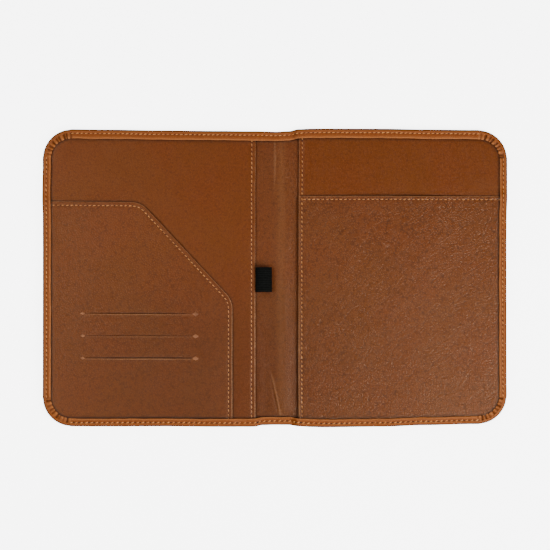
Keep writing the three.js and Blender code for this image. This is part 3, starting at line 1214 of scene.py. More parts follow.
        # The lip's rounded edge: how far back and how far down each row is, and its painted highlight
        for back, drop, highlight_and_rub in (
            (0.5, 0.03, 0.5), (0.27, 0.12, 0.75), (0.1, 0.28, 0.6), (0.0, 0.52, 0.15),
        ):
            rows.append((lip - back, self.top - pleated * (1 - 0.3 * drop) - drop, highlight_and_rub, 0.0))
        wall, edge = self.case.cover_leather, self.inner_edge
        under = self.top - wall
        # Painted shadow in the gutter under the lip, and painted shade on the hidden inner faces
        rows += [(lip - 0.02, under + 0.25, 0.0, 0.6), (lip - 0.2, under, 0.0, 1.0)]
        rows += [(wall + self.inner, under, 0.0, 0.3), (wall, under - edge, 0.0, 0.3)]
        return rows + [(wall, wall + edge, 0.0, 0.3), (wall + self.inner, wall, 0.0, 0.3)]

    def rim_height(self, inset: Array) -> Array:
        """Work out the height of the rim's upper face.

        Args:
            inset: How far inside the outline each point is.

        Returns:
            The height at each station.
        """
        aside = inset - self.case.stitch_inset
        sewn = np.where(self.share < 0, 1.0, 0.4)
        dip = sewn * self.stitch_dip * bump(aside, self.stitch_width)
        swell = 0.13 * bump(aside - 1.7, 1.0) + 0.05 * bump(aside + 1.0, 0.6)
        puckers = self.pucker * (self.beat - 0.5) * bump(np.abs(aside) - 0.8, 0.7)
        return self.top - dip + swell + puckers - self.pleat_depth * self.groove * self.gathered(inset)

    def gathered(self, inset: Array) -> Array:
        """Return how strongly the gathers show at an inset, from 0 to 1."""
        return smooth((inset - self.pleat_start) / 0.9)

    def build(self) -> Piece:
        """Build the cover.

        Returns:
            The cover's piece.
        """
        points, highlight_and_wear, shade = [], [], []
        ends = smooth(self.share / 0.07) * smooth((1 - self.share) / 0.07)
        drawn_in = self.corner_draw * (self.share >= 0) * ends
        for inset, height, highlight_and_rub, dark in self.rim_rows():
            inset = inset + drawn_in * smooth(1 - inset / (2 * self.roll))
            points.append(self.row(inset, height))
            gathered = self.gathered(inset)
            # Pleat valleys get painted shade and pleat ridges a painted highlight
            valley = np.clip(1.15 * self.groove * gathered, 0, 1)
            ridge = (self.share >= 0) * (1 - np.clip(2.2 * self.groove, 0, 1)) * gathered
            highlight_and_wear.append(np.clip(highlight_and_rub * (1 - valley) + 0.3 * ridge, 0, 1))
            shade.append(np.clip(dark + 0.6 * valley, 0, 1))
        count = len(self.x)
        faces: list = ring_faces(len(points), count)
        faces.append(list(range(count))[::-1])
        faces.append([(len(points) - 1) * count + k for k in range(count)])
        marks = {"highlight_and_wear": np.concatenate(highlight_and_wear), "shade": np.concatenate(shade)}
        piece = make_mesh("cover_leather_shell", np.vstack(points), faces, marks, COVER)
        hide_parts("outer_cover")
        case, edge = self.case, self.top.max()
        height = case.height + case.rim_top + case.rim_bottom + 2 * edge
        return piece


@dataclass
class InsidePanel:
    """A stiffened panel with its lining leather folded round its spine edge."""

    case: Layout
    side: Side
    pocket_edge: Line
    spacing: float = 1.9
    edge_round: float = 0.7
    stitch_inset: float = 3.0
    stitch_dip: float = 0.22
    stitch_width: float = 0.6
    sway: float = 0.07
    sway_size: float = 21.0
    overlap: float = 11.0
    overlap_fade: float = 1.5
    corner_steps: int = 12

    @property
    def edge(self) -> float:
        """Where the panel ends at the spine."""
        return self.case.left_edge if self.side is Side.LEFT else self.case.right_edge

    @property
    def sign(self) -> int:
        """The panel's direction along X from the spine."""
        return -1 if self.side is Side.LEFT else 1

    def from_edge(self, x: Array) -> Array:
        """Return how far places along X are inside the spine edge."""
        return self.sign * (x - self.edge)

    def cut(self, tuck: float) -> Line:
        """Draw the panel's outline.

        Args:
            tuck: How far inside the case's outline to stay.

        Returns:
            The outline's points, anticlockwise.
        """
        case = self.case
        radius = case.corner_radius - tuck
        far_x, far_y = case.side - case.corner_radius, case.head - case.corner_radius
        arcs = []
        for start, centre_y in ((-90, -far_y), (0, far_y)):
            for k in range(self.corner_steps + 1):
                angle = math.radians(start + 90 * k / self.corner_steps)
                arcs.append((far_x + radius * math.cos(angle), centre_y + radius * math.sin(angle)))
        loop = []
        spine = self.sign * self.edge
        corners = [(spine, tuck - case.head), *arcs, (spine, case.head - tuck)]
        for a, b in zip(corners, corners[1:] + corners[:1]):
            loop += straight(a, b, self.spacing * 0.7)
        return loop if self.side is Side.RIGHT else [(-x, y) for x, y in loop][::-1]

    def top(self, x: Array, y: Array) -> Array:
        """Work out the height of the lining leather.

        Args:
            x: Places along X.
            y: Places along Y.

        Returns:
            The height at each place.
        """
        depth = self.from_edge(x)
        drop = rounding(depth, self.edge_round)
        dip = self.stitch_dip * bump(depth - self.stitch_inset, self.stitch_width)
        pressed = 0.2 * bump(self.case.inside_rim(x, y), 1.6)
        sway = self.sway * soft_noise(x, y, self.sway_size, Swell.PANEL)
        return self.case.panel_top - drop - dip - pressed + sway - 0.06

    def bottom(self, x: Array, y: Array) -> Array:
        """Work out the height of the underside, which clears the spine's lining.

        Args:
            x: Places along X.
            y: Places along Y.

        Returns:
            The height at each place.
        """
        case, depth = self.case, self.from_edge(x)
        near = smooth((self.overlap - depth) / self.overlap_fade)
        clear = case.lining_top + case.gap - case.floor
        return case.floor + clear * near + rounding(depth, self.edge_round)

    def holds(self, point: Point) -> bool:
        """Tell whether a point is well inside the panel."""
        inside = float(self.from_edge(np.array(point[0]))) > 5.0
        return inside and in_outline(point, self.case, self.case.tuck + 0.5)

    def build(self) -> Piece:
        """Build the panel.

        Returns:
            The panel's piece.
        """
        case = self.case
        end = case.head - case.tuck - 0.3
        rings = [
            straight((self.edge + self.sign * d, -end), (self.edge + self.sign * d, end), 1.2)
            for d in (0.1, 0.3, 0.6, 0.95, 1.6, 2.3, 2.7, 3.0, 3.3, 3.7, 4.4)
        ]
        rings += [
            [p for p in beside(self.pocket_edge, aside) if self.holds(p)]
            for aside in (-1.7, -1.1, -0.6, -0.1, 0.4)
        ]
        sheet = Sheet(self.cut(case.tuck), rings, [], self.spacing, 0.75)
        points, faces, flat = sheet.solid(case, self.top, self.bottom)
        depth = self.from_edge(flat[:, 0])
        inside = case.inside_rim(flat[:, 0], flat[:, 1])
        under_edge = distance_to(self.pocket_edge, flat[:, 0], flat[:, 1])
        # Painted shade in the gutter at the rim and along the seam, painted shadow beside the pocket's
        # edge, plus the broad painted shade
        seam = bump(depth - self.stitch_inset, 0.5)
        dark = 0.9 * bump(inside - 0.2, 1.05) + 0.15 * seam
        dark = dark + 0.75 * bump(under_edge, 1.0) + case.broad_painted_shade(flat[:, 0], flat[:, 1])
        # The folded spine edge gets a painted highlight with its rubbing
        highlight_and_wear = 0.8 * bump(depth - 0.2, 0.22) * foot_highlight_and_rub(flat[:, 1])
        marks = {"highlight_and_wear": highlight_and_wear, "shade": np.clip(dark, 0, 1)}
        piece = make_mesh(f"{self.side.value}_panel_lining", points, faces, marks, INSIDE)
        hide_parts(f"{self.side.value}_panel")
        return piece


@dataclass
class SpineLining:
    """The soft leather between the panels."""

    case: Layout
    margin: float = 8.0
    ripple: float = 1.3
    softness: float = 0.035
    across: int = 110
    up: int = 170
    sway: float = 0.08
    sway_size: float = 16.0
    head_crease: float = 0.445
    foot_crease: float = 0.384
    foot_slant: float = 0.71
    foot_start: float = 0.66

    # Across the spine, from the left panel at 0 to the right one at 1: each place, and the folds at
    # the head, in the middle and at the foot there, as shares of ripple
    FOLDS = np.array([
        [0.0, 0.1, 0.24, 0.36, 0.46, 0.56, 0.64, 0.7, 0.78, 0.86, 0.93, 1.0],
        [0.0, 0.12, 0.1, 0.3, 0.66, 0.6, 0.6, 0.54, 0.42, 0.24, 0.06, 0.0],
        [0.0, 0.04, 0.04, 0.08, 0.42, 0.9, 1.12, 1.08, 0.74, 0.32, 0.08, 0.0],
        [0.0, 0.42, 0.16, 0.45, 0.66, 0.96, 1.1, 1.06, 0.74, 0.34, 0.1, 0.0],
    ])

    def fold(self, row: int, at: Array) -> Array:
        """Read a row of the folds without its corners.

        Args:
            row: Which row to read.
            at: Places across the spine, from 0 to 1.

        Returns:
            The fold's share of the ripple at each place.
        """
        shifts = np.linspace(-self.softness, self.softness, 7)
        return np.mean([np.interp(at + s, self.FOLDS[0], self.FOLDS[row]) for s in shifts], axis=0)

    def rise(self, x: Array, y: Array) -> Array:
        """Work out how far the lining stands off the cover.

        Args:
            x: Places along X.
            y: Places along Y.

        Returns:
            The rise at each place.
        """
        case = self.case
        at = np.clip((x - case.left_edge) / case.spine_width, 0, 1)
        up = y / case.head
        head, foot = smooth(up), smooth(-up)
        folds = self.fold(1, at) * head + self.fold(3, at) * foot
        folds = folds + self.fold(2, at) * (1 - head - foot)
        free = smooth((case.head - np.abs(y) - case.rim_top - case.gap) / case.rim_step)
        between = smooth(at / 0.06) * smooth((1 - at) / 0.06)
        beside = bump(self.slant(at, up) + 0.055, 0.02) * smooth((-up - self.foot_start) / 0.12)
        crease = 0.5 * self.crease(at, up) - 0.35 * beside
        sway = self.sway * soft_noise(x * 2.2, y, self.sway_size, Swell.SPINE)
        return free * between * (self.ripple * folds + crease + sway)

    def slant(self, at: Array, up: Array) -> Array:
        """Return how far places across the spine are from the slanting crease at its foot."""
        return at - self.foot_crease - self.foot_slant * (-up - self.foot_start)

    def crease(self, at: Array, up: Array) -> Array:
        """Work out the sharp creases near the spine's head and foot.

        Args:
            at: Places across the spine, from 0 to 1.
            up: Places up the case, from -1 to 1.

        Returns:
            How strong the crease is at each place, from 0 to 1.
        """
        head = 0.5 * bump(at - self.head_crease, 0.022) * smooth((up - 0.52) / 0.3)
        return head + bump(self.slant(at, up), 0.016) * smooth((-up - 0.6) / 0.12)

    def build(self) -> Piece:
        """Build the lining.

        Returns:
            The lining's piece.
        """
        case = self.case
        xs = np.linspace(case.left_edge - self.margin, case.right_edge + self.margin, self.across)
        ys = np.linspace(case.tuck - case.head, case.head - case.tuck, self.up)
        x, y = (a.ravel() for a in np.meshgrid(xs, ys))
        moved = np.stack(case.lie(x, y), axis=1)
        rise = case.floor + np.maximum(self.rise(x, y), 0.0)
        high = np.column_stack([moved, rise + case.lining_leather])
        low = np.column_stack([moved, rise])
        numbers = np.arange(len(x)).reshape(self.up, self.across)
        a, b = numbers[:-1, :-1], numbers[:-1, 1:]
        c, d = numbers[1:, 1:], numbers[1:, :-1]
        quads = np.stack([a, b, c, d], axis=-1).reshape(-1, 4)
        faces = quads.tolist() + (quads[:, ::-1] + len(x)).tolist()
        border = np.concatenate(
            [numbers[0], numbers[1:, -1], numbers[-1, -2::-1], numbers[-2:0:-1, 0]]
        )
        for p, q in zip(border.tolist(), np.roll(border, -1).tolist()):
            faces.append([p, p + len(x), q + len(x), q])
        at = (x - case.left_edge) / case.spine_width
        lip = np.minimum(case.head - case.rim_top - y, case.head - case.rim_bottom + y)
        # Painted shade all over the low-lying lining, beside both panel edges, under the rim and
        # towards the foot on the right, plus the broad painted shade
        dark = 0.1 + 0.4 * bump(at, 0.03) + 0.2 * bump(at - 1.0, 0.04) + 0.7 * bump(lip, 1.2)
        dark = dark + 0.18 * bump(at - 0.97, 0.1) * smooth((-y - 20.0) / 60.0) + case.broad_painted_shade(x, y)
        # Painted highlight on the fold's crest and on the creases
        highlight_and_rub = 0.05 * bump(at - 0.6, 0.1) + 0.2 * self.crease(at, y / case.head)
        marks = {"highlight_and_wear": np.tile(highlight_and_rub, 2), "shade": np.tile(np.clip(dark, 0, 1), 2)}
        piece = make_mesh("spine_leather", np.vstack([high, low]), faces, marks, SUPPLE)
        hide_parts("spine_lining")
        return piece


# The rounding of the underside of a pocket's edges
UNDER_ROUND = 0.35


@dataclass
class DocumentPocket:
    """The pocket with a cut-off corner and three card slits."""

    outline: DocumentOutline
    spacing: float = 1.7
    gape: float = 1.2
    gape_reach: float = 50.0
    fold_round: float = 0.5
    stitch_inset: float = 3.0
    slits: int = 3
    slit_length: float = 87.1
    slit_openings: tuple[float, ...] = (0.55, 0.26, 0.4)
    slit_strengths: tuple[float, ...] = (1.0, 0.35, 0.6)
    slit_pitch: float = 18.0
    slit_inset: float = 77.8
    slit_points: int = 140
    lowest_slit: float = 55.3
    stitch_dip: float = 0.2
    stitch_width: float = 0.55
    sway: float = 0.07
    sway_size: float = 17.0

    def slit_levels(self) -> list[float]:
        """Return the height up the case of each slit, lowest first."""
        foot = -self.outline.case.head
        return [foot + self.lowest_slit + k * self.slit_pitch for k in range(self.slits)]

    def slit_loop(self, level: float, opening: float, grow: float) -> Line:
        """Draw a slit's lens-shaped outline.

        Args:
            level: The slit's place along Y.
            opening: How wide it gapes.
            grow: How far outside the slit's edge to draw.

        Returns:
            The loop's points, anticlockwise.
        """
        half_x, half_y = self.slit_length / 2 + grow, opening / 2 + grow
        points = []
        for k in range(self.slit_points):
            angle = 2 * math.pi * k / self.slit_points
            y = half_y * math.copysign(abs(math.sin(angle)) ** 0.7, math.sin(angle))
            points.append((self.middle + half_x * math.cos(angle), level + y))
        return points

    @property
    def middle(self) -> float:
        """Where the slits' middle is along X."""
        return self.slit_inset - self.outline.case.side

    def edge_depth(self, x: Array, y: Array) -> Array:
        """Return how far inside the free edge each point is."""
        return distance_to(self.outline.free_edge(0.0, 0.8), x, y)

    def lift(self, x: Array, y: Array) -> Array:
        """Work out how far the pocket stands off the panel.

        Args:
            x: Places along X.
            y: Places along Y.

        Returns:
            The lift at each place.
        """
        case = self.outline.case
        from_left = smooth((x + case.side - case.rim_left - case.gap) / self.gape_reach)
        from_right = smooth((self.outline.right - x) / self.gape_reach)
        from_foot = smooth((y + case.head - case.rim_bottom - case.gap) / self.outline.height)
        return self.gape * from_left * from_right * from_foot

    def lips(self, x: Array, y: Array) -> tuple[Array, Array, Array]:
        """Work out how the leather stands at the slits.

        Args:
            x: Places along X.
            y: Places along Y.

        Returns:
            The change in height, the painted highlight and the painted shade at each place.
        """
        along = np.clip(1 - ((x - self.middle) / (self.slit_length / 2)) ** 2, 0, 1) ** 0.4
        rise, highlight_and_rub, dark = (np.zeros(len(x)) for _ in range(3))
        for level, strength in zip(self.slit_levels(), self.slit_strengths):
            away = y - level
            below = np.where(away < 0, 1.0, 0.0)
            near = bump(np.abs(away), 1.7)
            rise = rise + strength * along * near * (0.34 * below - 0.42 * (1 - below))
            # Each lower lip gets a painted highlight, the slit above it and the leather below it
            # painted shade
            highlight_and_rub = highlight_and_rub + strength * along * 0.5 * below * bump(away + 0.62, 0.26)
            dark = dark + strength * along * (1 - below) * bump(away - 0.3, 0.55)
            dark = dark + 0.1 * along * below * bump(away + 1.6, 0.7)
        return rise, highlight_and_rub, dark

    def top(self, x: Array, y: Array) -> Array:
        """Work out the height of the pocket's face.

        Args:
            x: Places along X.
            y: Places along Y.

        Returns:
            The height at each place.
        """
        case, depth = self.outline.case, self.edge_depth(x, y)
        fold = rounding(depth, self.fold_round)
        dip = self.stitch_dip * bump(depth - self.stitch_inset, self.stitch_width)
        hem = 0.05 * bump(depth - 1.5, 0.9)
        pressed = 0.2 * bump(case.inside_rim(x, y), 1.4)
        sway = self.sway * soft_noise(x, y, self.sway_size, Swell.DOCUMENT_POCKET)
        height = case.pocket_top + self.lift(x, y) + self.lips(x, y)[0]
        return height - fold - dip + hem - pressed + sway

    def bottom(self, x: Array, y: Array) -> Array:
        """Return the height of the pocket's underside at each place."""
        fold, lips = rounding(self.edge_depth(x, y), UNDER_ROUND), self.lips(x, y)[0]
        return self.outline.case.pocket_base + self.lift(x, y) + np.maximum(lips, -0.1) + fold

    def build(self) -> Piece:
        """Build the pocket.

        Returns:
            The pocket's piece.
        """
        case = self.outline.case
        insets = (0.1, 0.25, 0.5, 0.9, 1.6, 2.4, 3.0, 3.6)
        rings = [self.outline.free_edge(inset, 1.3)[3:-3] for inset in insets]
        slits = list(zip(self.slit_levels(), self.slit_openings))
        holes = [self.slit_loop(level, opening, 0.0) for level, opening in slits]
        for level, opening in slits:
            rings += [self.slit_loop(level, opening, grow) for grow in (0.2, 0.5, 0.9, 1.5)]
        rings = [[p for p in ring if in_outline(p, case, case.tuck + 0.3)] for ring in rings]
        sheet = Sheet(self.boundary(), rings, holes, self.spacing, 0.7)
        points, faces, flat = sheet.solid(case, self.top, self.bottom)
        x, y = flat[:, 0], flat[:, 1]
        depth = self.edge_depth(x, y)
        _, highlight_and_rub, dark = self.lips(x, y)
        seam = bump(depth - self.stitch_inset, 0.5)
        # Painted shade along the seam and in the gutter at the rim, plus the broad painted shade
        dark = dark + 0.9 * bump(case.inside_rim(x, y) - 0.2, 1.05) + 0.15 * seam
        dark = dark + case.broad_painted_shade(x, y)
        marks = {
            # The free edge gets a painted highlight with its rubbing, added to the slits' painted
            # highlight
            "highlight_and_wear": np.clip(0.95 * bump(depth - 0.16, 0.2) * foot_highlight_and_rub(y) + highlight_and_rub, 0, 1),
            "shade": np.clip(dark, 0, 1),
        }
        piece = make_mesh("document_pocket_leather", points, faces, marks, POCKET)
        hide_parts("document_pocket")
        return piece

    def boundary(self) -> Line:
        """Draw the pocket's outline: its free edge, then the tucked-in left and foot edges.

        Returns:
            The outline's points, anticlockwise.
        """
        case = self.outline.case
        edge = [p for p in self.outline.free_edge(0.0, 1.1) if in_outline(p, case, case.tuck)]
        radius = case.corner_radius - case.tuck
        low, left = case.tuck - case.head, case.tuck - case.side
        centre = (case.corner_radius - case.side, case.corner_radius - case.head)
        corner = [
            (centre[0] + radius * math.cos(a), centre[1] + radius * math.sin(a))
            for a in np.linspace(math.pi, 1.5 * math.pi, 14)
        ]
        start, end = (left, edge[-1][1]), (edge[0][0], low)
        points = [*edge, *straight(start, corner[0], 1.5), *corner]
        return points + straight(corner[-1], end, 1.5)[1:] + [end]


def distance_to(line: Line, x: Array, y: Array) -> Array:
    """Measure how far points are from a line.

    Args:
        line: The line's points.
        x: Places along X.
        y: Places along Y.

    Returns:
        The distance of each point.
    """
    best = np.full(len(x), 1e9)
    for (ax, ay), (bx, by) in zip(line[:-1], line[1:]):
        run = np.array([bx - ax, by - ay])
        share = np.clip(((x - ax) * run[0] + (y - ay) * run[1]) / (run @ run), 0, 1)
        best = np.minimum(best, np.hypot(x - ax - share * run[0], y - ay - share * run[1]))
    return best


def beside(line: Line, aside: float) -> Line:
    """Draw a line to the left of another, or to its right if negative.

    Args:
        line: The line's points.
        aside: How far to the left to draw.

    Returns:
        The new line's points.
    """
    points = np.array(line)
    ahead = np.gradient(points, axis=0)
    ahead = ahead / np.linalg.norm(ahead, axis=1)[:, None]
    return [tuple(p) for p in points + aside * np.column_stack([-ahead[:, 1], ahead[:, 0]])]


def in_outline(point: Point, case: Layout, inset: float) -> bool:
    """Tell whether a point is inside the case's outline.

    Args:
        point: The point.
        case: The case's layout.
        inset: How far the outline is drawn in.

    Returns:
        Whether it is.
    """
    x, y = abs(point[0]), abs(point[1])
    over_x, over_y = x - (case.side - case.corner_radius), y - (case.head - case.corner_radius)
    if over_x > 0 and over_y > 0:
        return math.hypot(over_x, over_y) < case.corner_radius - inset
    return x < case.side - inset and y < case.head - inset


@dataclass
class NotepadPocket:
    """The straight pocket on the right panel."""

    case: Layout
    height: float = 185.7
    gape: float = 1.5
    spacing: float = 1.9
    fold_round: float = 0.5
    mouth_stitch: float = 2.8
    edge_stitch: float = 2.6
    stitch_dip: float = 0.2
    stitch_width: float = 0.55
    wrinkle: float = 0.085
    wrinkle_size: float = 9.0
    sway: float = 0.12
    sway_size: float = 34.0

    @property
    def mouth(self) -> float:
        """Where the pocket's mouth is."""
        return self.height - self.case.head

    def lift(self, x: Array, y: Array) -> Array:
        """Work out how far the pocket stands off the panel.

        Args:
            x: Places along X.
            y: Places along Y.

        Returns:
            The lift at each place.
        """
        case = self.case
        inset = case.stitch_inset
        open_width = case.right_width - case.rim_right - 2 * inset
        across = np.clip((x - case.right_edge - inset) / open_width, 0, 1)
        up = smooth((y + case.head - case.rim_bottom - case.gap) / self.height)
        return self.gape * np.sin(np.pi * across) ** 2 * up

    def wrinkles(self, x: Array, y: Array) -> Array:
        """Work out the shallow slanting wrinkles that the soft leather keeps.

        Args:
            x: Places along X.
            y: Places along Y.

        Returns:
            The change in height at each place.
        """
        along, aside = 0.72 * x + 0.69 * y, 0.72 * y - 0.69 * x
        long_folds = soft_noise(along * 0.32, aside, self.wrinkle_size, Swell.LONG_WRINKLES)
        broad = soft_noise(x, y, self.sway_size, Swell.BROAD_WRINKLES)
        return self.wrinkle * long_folds + self.sway * broad

    def top(self, x: Array, y: Array) -> Array:
        """Work out the height of the pocket's face.

        Args:
            x: Places along X.
            y: Places along Y.

        Returns:
            The height at each place.
        """
        under_mouth, from_left = self.mouth - y, x - self.case.right_edge
        inside = self.case.inside_rim(x, y)
        fold = np.maximum(rounding(under_mouth, self.fold_round), rounding(from_left, 0.6))
        dip = self.stitch_dip * np.maximum(
            bump(under_mouth - self.mouth_stitch, self.stitch_width),
            bump(from_left - self.edge_stitch, self.stitch_width),
        )
        hem = 0.05 * bump(under_mouth - 1.4, 0.9) + 0.05 * bump(from_left - 1.3, 0.8)
        loose = smooth(inside / 14.0) * smooth(from_left / 12.0)
        height = self.case.pocket_top + self.lift(x, y) + loose * self.wrinkles(x, y)
        return height - fold - dip + hem - 0.2 * bump(inside, 1.4)

    def bottom(self, x: Array, y: Array) -> Array:
        """Return the height of the pocket's underside at each place."""
        fold = rounding(np.minimum(self.mouth - y, x - self.case.right_edge), UNDER_ROUND)
        return self.case.pocket_base + self.lift(x, y) + fold

    def build(self) -> Piece:
        """Build the pocket.

        Returns:
            The pocket's piece.
        """
        case = self.case
        whole = InsidePanel(case, Side.RIGHT, []).cut(case.tuck)
        loop = self.close_mouth([p for p in whole if p[1] < self.mouth - 0.5])
        left, right = case.right_edge, case.side - case.tuck - 0.3
        low = case.tuck - case.head + 0.3
        rings = [
            straight((left + 0.4, self.mouth - d), (right, self.mouth - d), 1.3)
            for d in (0.1, 0.25, 0.5, 0.9, 1.6, 2.3, 2.8, 3.3, 4.0)
        ]
        rings += [
            straight((left + d, low), (left + d, self.mouth - 4.5), 1.3)
            for d in (0.1, 0.3, 0.55, 0.9, 1.6, 2.1, 2.6, 3.1, 3.8)
        ]
        sheet = Sheet(loop, rings, [], self.spacing, 0.75)
        points, faces, flat = sheet.solid(case, self.top, self.bottom)
        x, y = flat[:, 0], flat[:, 1]
        # A slightly darker tone all over, then painted shade in the gutter at the rim and along the
        # seam, plus the broad painted shade
        dark = 0.06 + 0.9 * bump(case.inside_rim(x, y) - 0.2, 1.05)
        dark = dark + 0.15 * bump(x - left - self.edge_stitch, 0.5) + case.broad_painted_shade(x, y)
        # Painted highlight with rubbing on the folded mouth and left edge
        highlight_and_rub = 0.45 * bump(self.mouth - y - 0.16, 0.2)
        highlight_and_rub = highlight_and_rub + 0.95 * bump(x - left - 0.2, 0.22) * foot_highlight_and_rub(y)
        marks = {"highlight_and_wear": np.clip(highlight_and_rub, 0, 1), "shade": np.clip(dark, 0, 1)}
        piece = make_mesh("notepad_pocket_leather", points, faces, marks, CREASED)
        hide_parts("notepad_pocket")
        return piece

    def mouth_line(self) -> Line:
        """Return the line of the pocket's mouth."""
        return straight((self.case.side, self.mouth), (self.case.right_edge, self.mouth), 1.3)

    def close_mouth(self, loop: Line) -> Line:
        """Close an outline that was cut open at the mouth.

        Args:
            loop: The outline's points below the mouth.

        Returns:
            The closed outline, anticlockwise, starting at the right end of the mouth.
        """
        left, right = self.case.right_edge, self.case.side - self.case.tuck
        gap = max(range(len(loop)), key=lambda k: math.dist(loop[k], loop[(k + 1) % len(loop)]))
        below = loop[gap + 1:] + loop[:gap + 1]
        return straight((right, self.mouth), (left, self.mouth), 1.3) + [(left, self.mouth)] + below


@dataclass
class PenLoop:
    """An oval band of ribbed elastic, whose sewn ends are under the left panel."""

    case: Layout
    reach: float = 13.5
    band: float = 20.0
    rise: float = 7.2
    elastic: float = 0.8
    drop: float = 0.6
    tail: float = 9.0
    ribs: int = 14
    rib_depth: float = 0.22
    rib_steps: int = 8
    around: int = 72

    def build(self) -> Piece:
        """Build the loop as a band with the ribs raised on it.

        Returns:
            The loop's piece.
        """
        case, along = self.case, self.ribs * self.rib_steps + 1
        places = np.linspace(-self.band / 2, self.band / 2, along)
        crest = 0.5 + 0.5 * np.cos(2 * np.pi * np.arange(along) / self.rib_steps)
        hem = 0.3 * rounding(np.minimum(places - places[0], places[-1] - places), 0.5)
        outer = zip(self.rib_depth * crest - hem - self.rib_depth, places)
        inner = zip((hem - self.elastic)[::-1], places[::-1])
        rings = [self.oval(out, place) for out, place in [*outer, *inner]]
        band, faces = np.vstack(rings), ring_faces(len(rings), self.around, closed=True)
        tail_points, tail_faces = self.tail_strip()
        faces += [[len(band) + k for k in f] for f in tail_faces]
        shift_x, shift_y = case.lie(np.array([case.left_edge + case.gap]), np.array([-self.drop]))
        seat = np.array([shift_x[0], shift_y[0], case.lining_top + case.gap])
        points = np.vstack([band, tail_points]) + seat
        # The rib crests are marked for the elastic's painted highlight, which is all this mark holds
        # here
        highlight_and_wear = np.zeros(len(points))
        highlight_and_wear[: along * self.around] = np.repeat(crest, self.around)
        piece = make_mesh("pen_loop_elastic", points, faces, {"highlight_and_wear": highlight_and_wear}, ELASTIC)
        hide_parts("pen_loop")
        return piece

    @property
    def half_x(self) -> float:
        """Half the loop's width."""
        return (self.reach - self.case.gap) / 2

    def oval(self, out: float, place: float) -> Array:
        """Draw one ring of the band.

        Args:
            out: How far outside the oval to draw.
            place: The ring's place along Y.

        Returns:
            The ring's points.
        """
        angles = 2 * np.pi * np.arange(self.around) / self.around
        half_x, half_z = self.half_x, self.rise / 2
        x = half_x + (half_x + out) * np.cos(angles)
        z = half_z + (half_z + out) * np.sin(angles)
        return np.column_stack([x, np.full(self.around, place), z])

    def tail_strip(self) -> tuple[Array, list[tuple[int, ...]]]:
        """Make the sewn end that goes under the panel.

        Returns:
            The strip's points and faces.
        """
        left, right, half = -self.tail, self.half_x * 0.7, self.band / 2 - 0.05
        low, high = 0.05, 0.9
        corners = [(left, -half), (right, -half), (right, half), (left, half)]
        points = np.array([(x, y, z) for z in (low, high) for x, y in corners])
        sides = [(k, (k + 1) % 4, 4 + (k + 1) % 4, 4 + k) for k in range(4)]
        return points, [(3, 2, 1, 0), (4, 5, 6, 7), *sides]


@dataclass(frozen=True)
class StitchSize:
    """The pitch, length and radius of stitches in millimetres, and their turn in radians."""

    pitch: float
    length: float
    thread: float
    slant: float


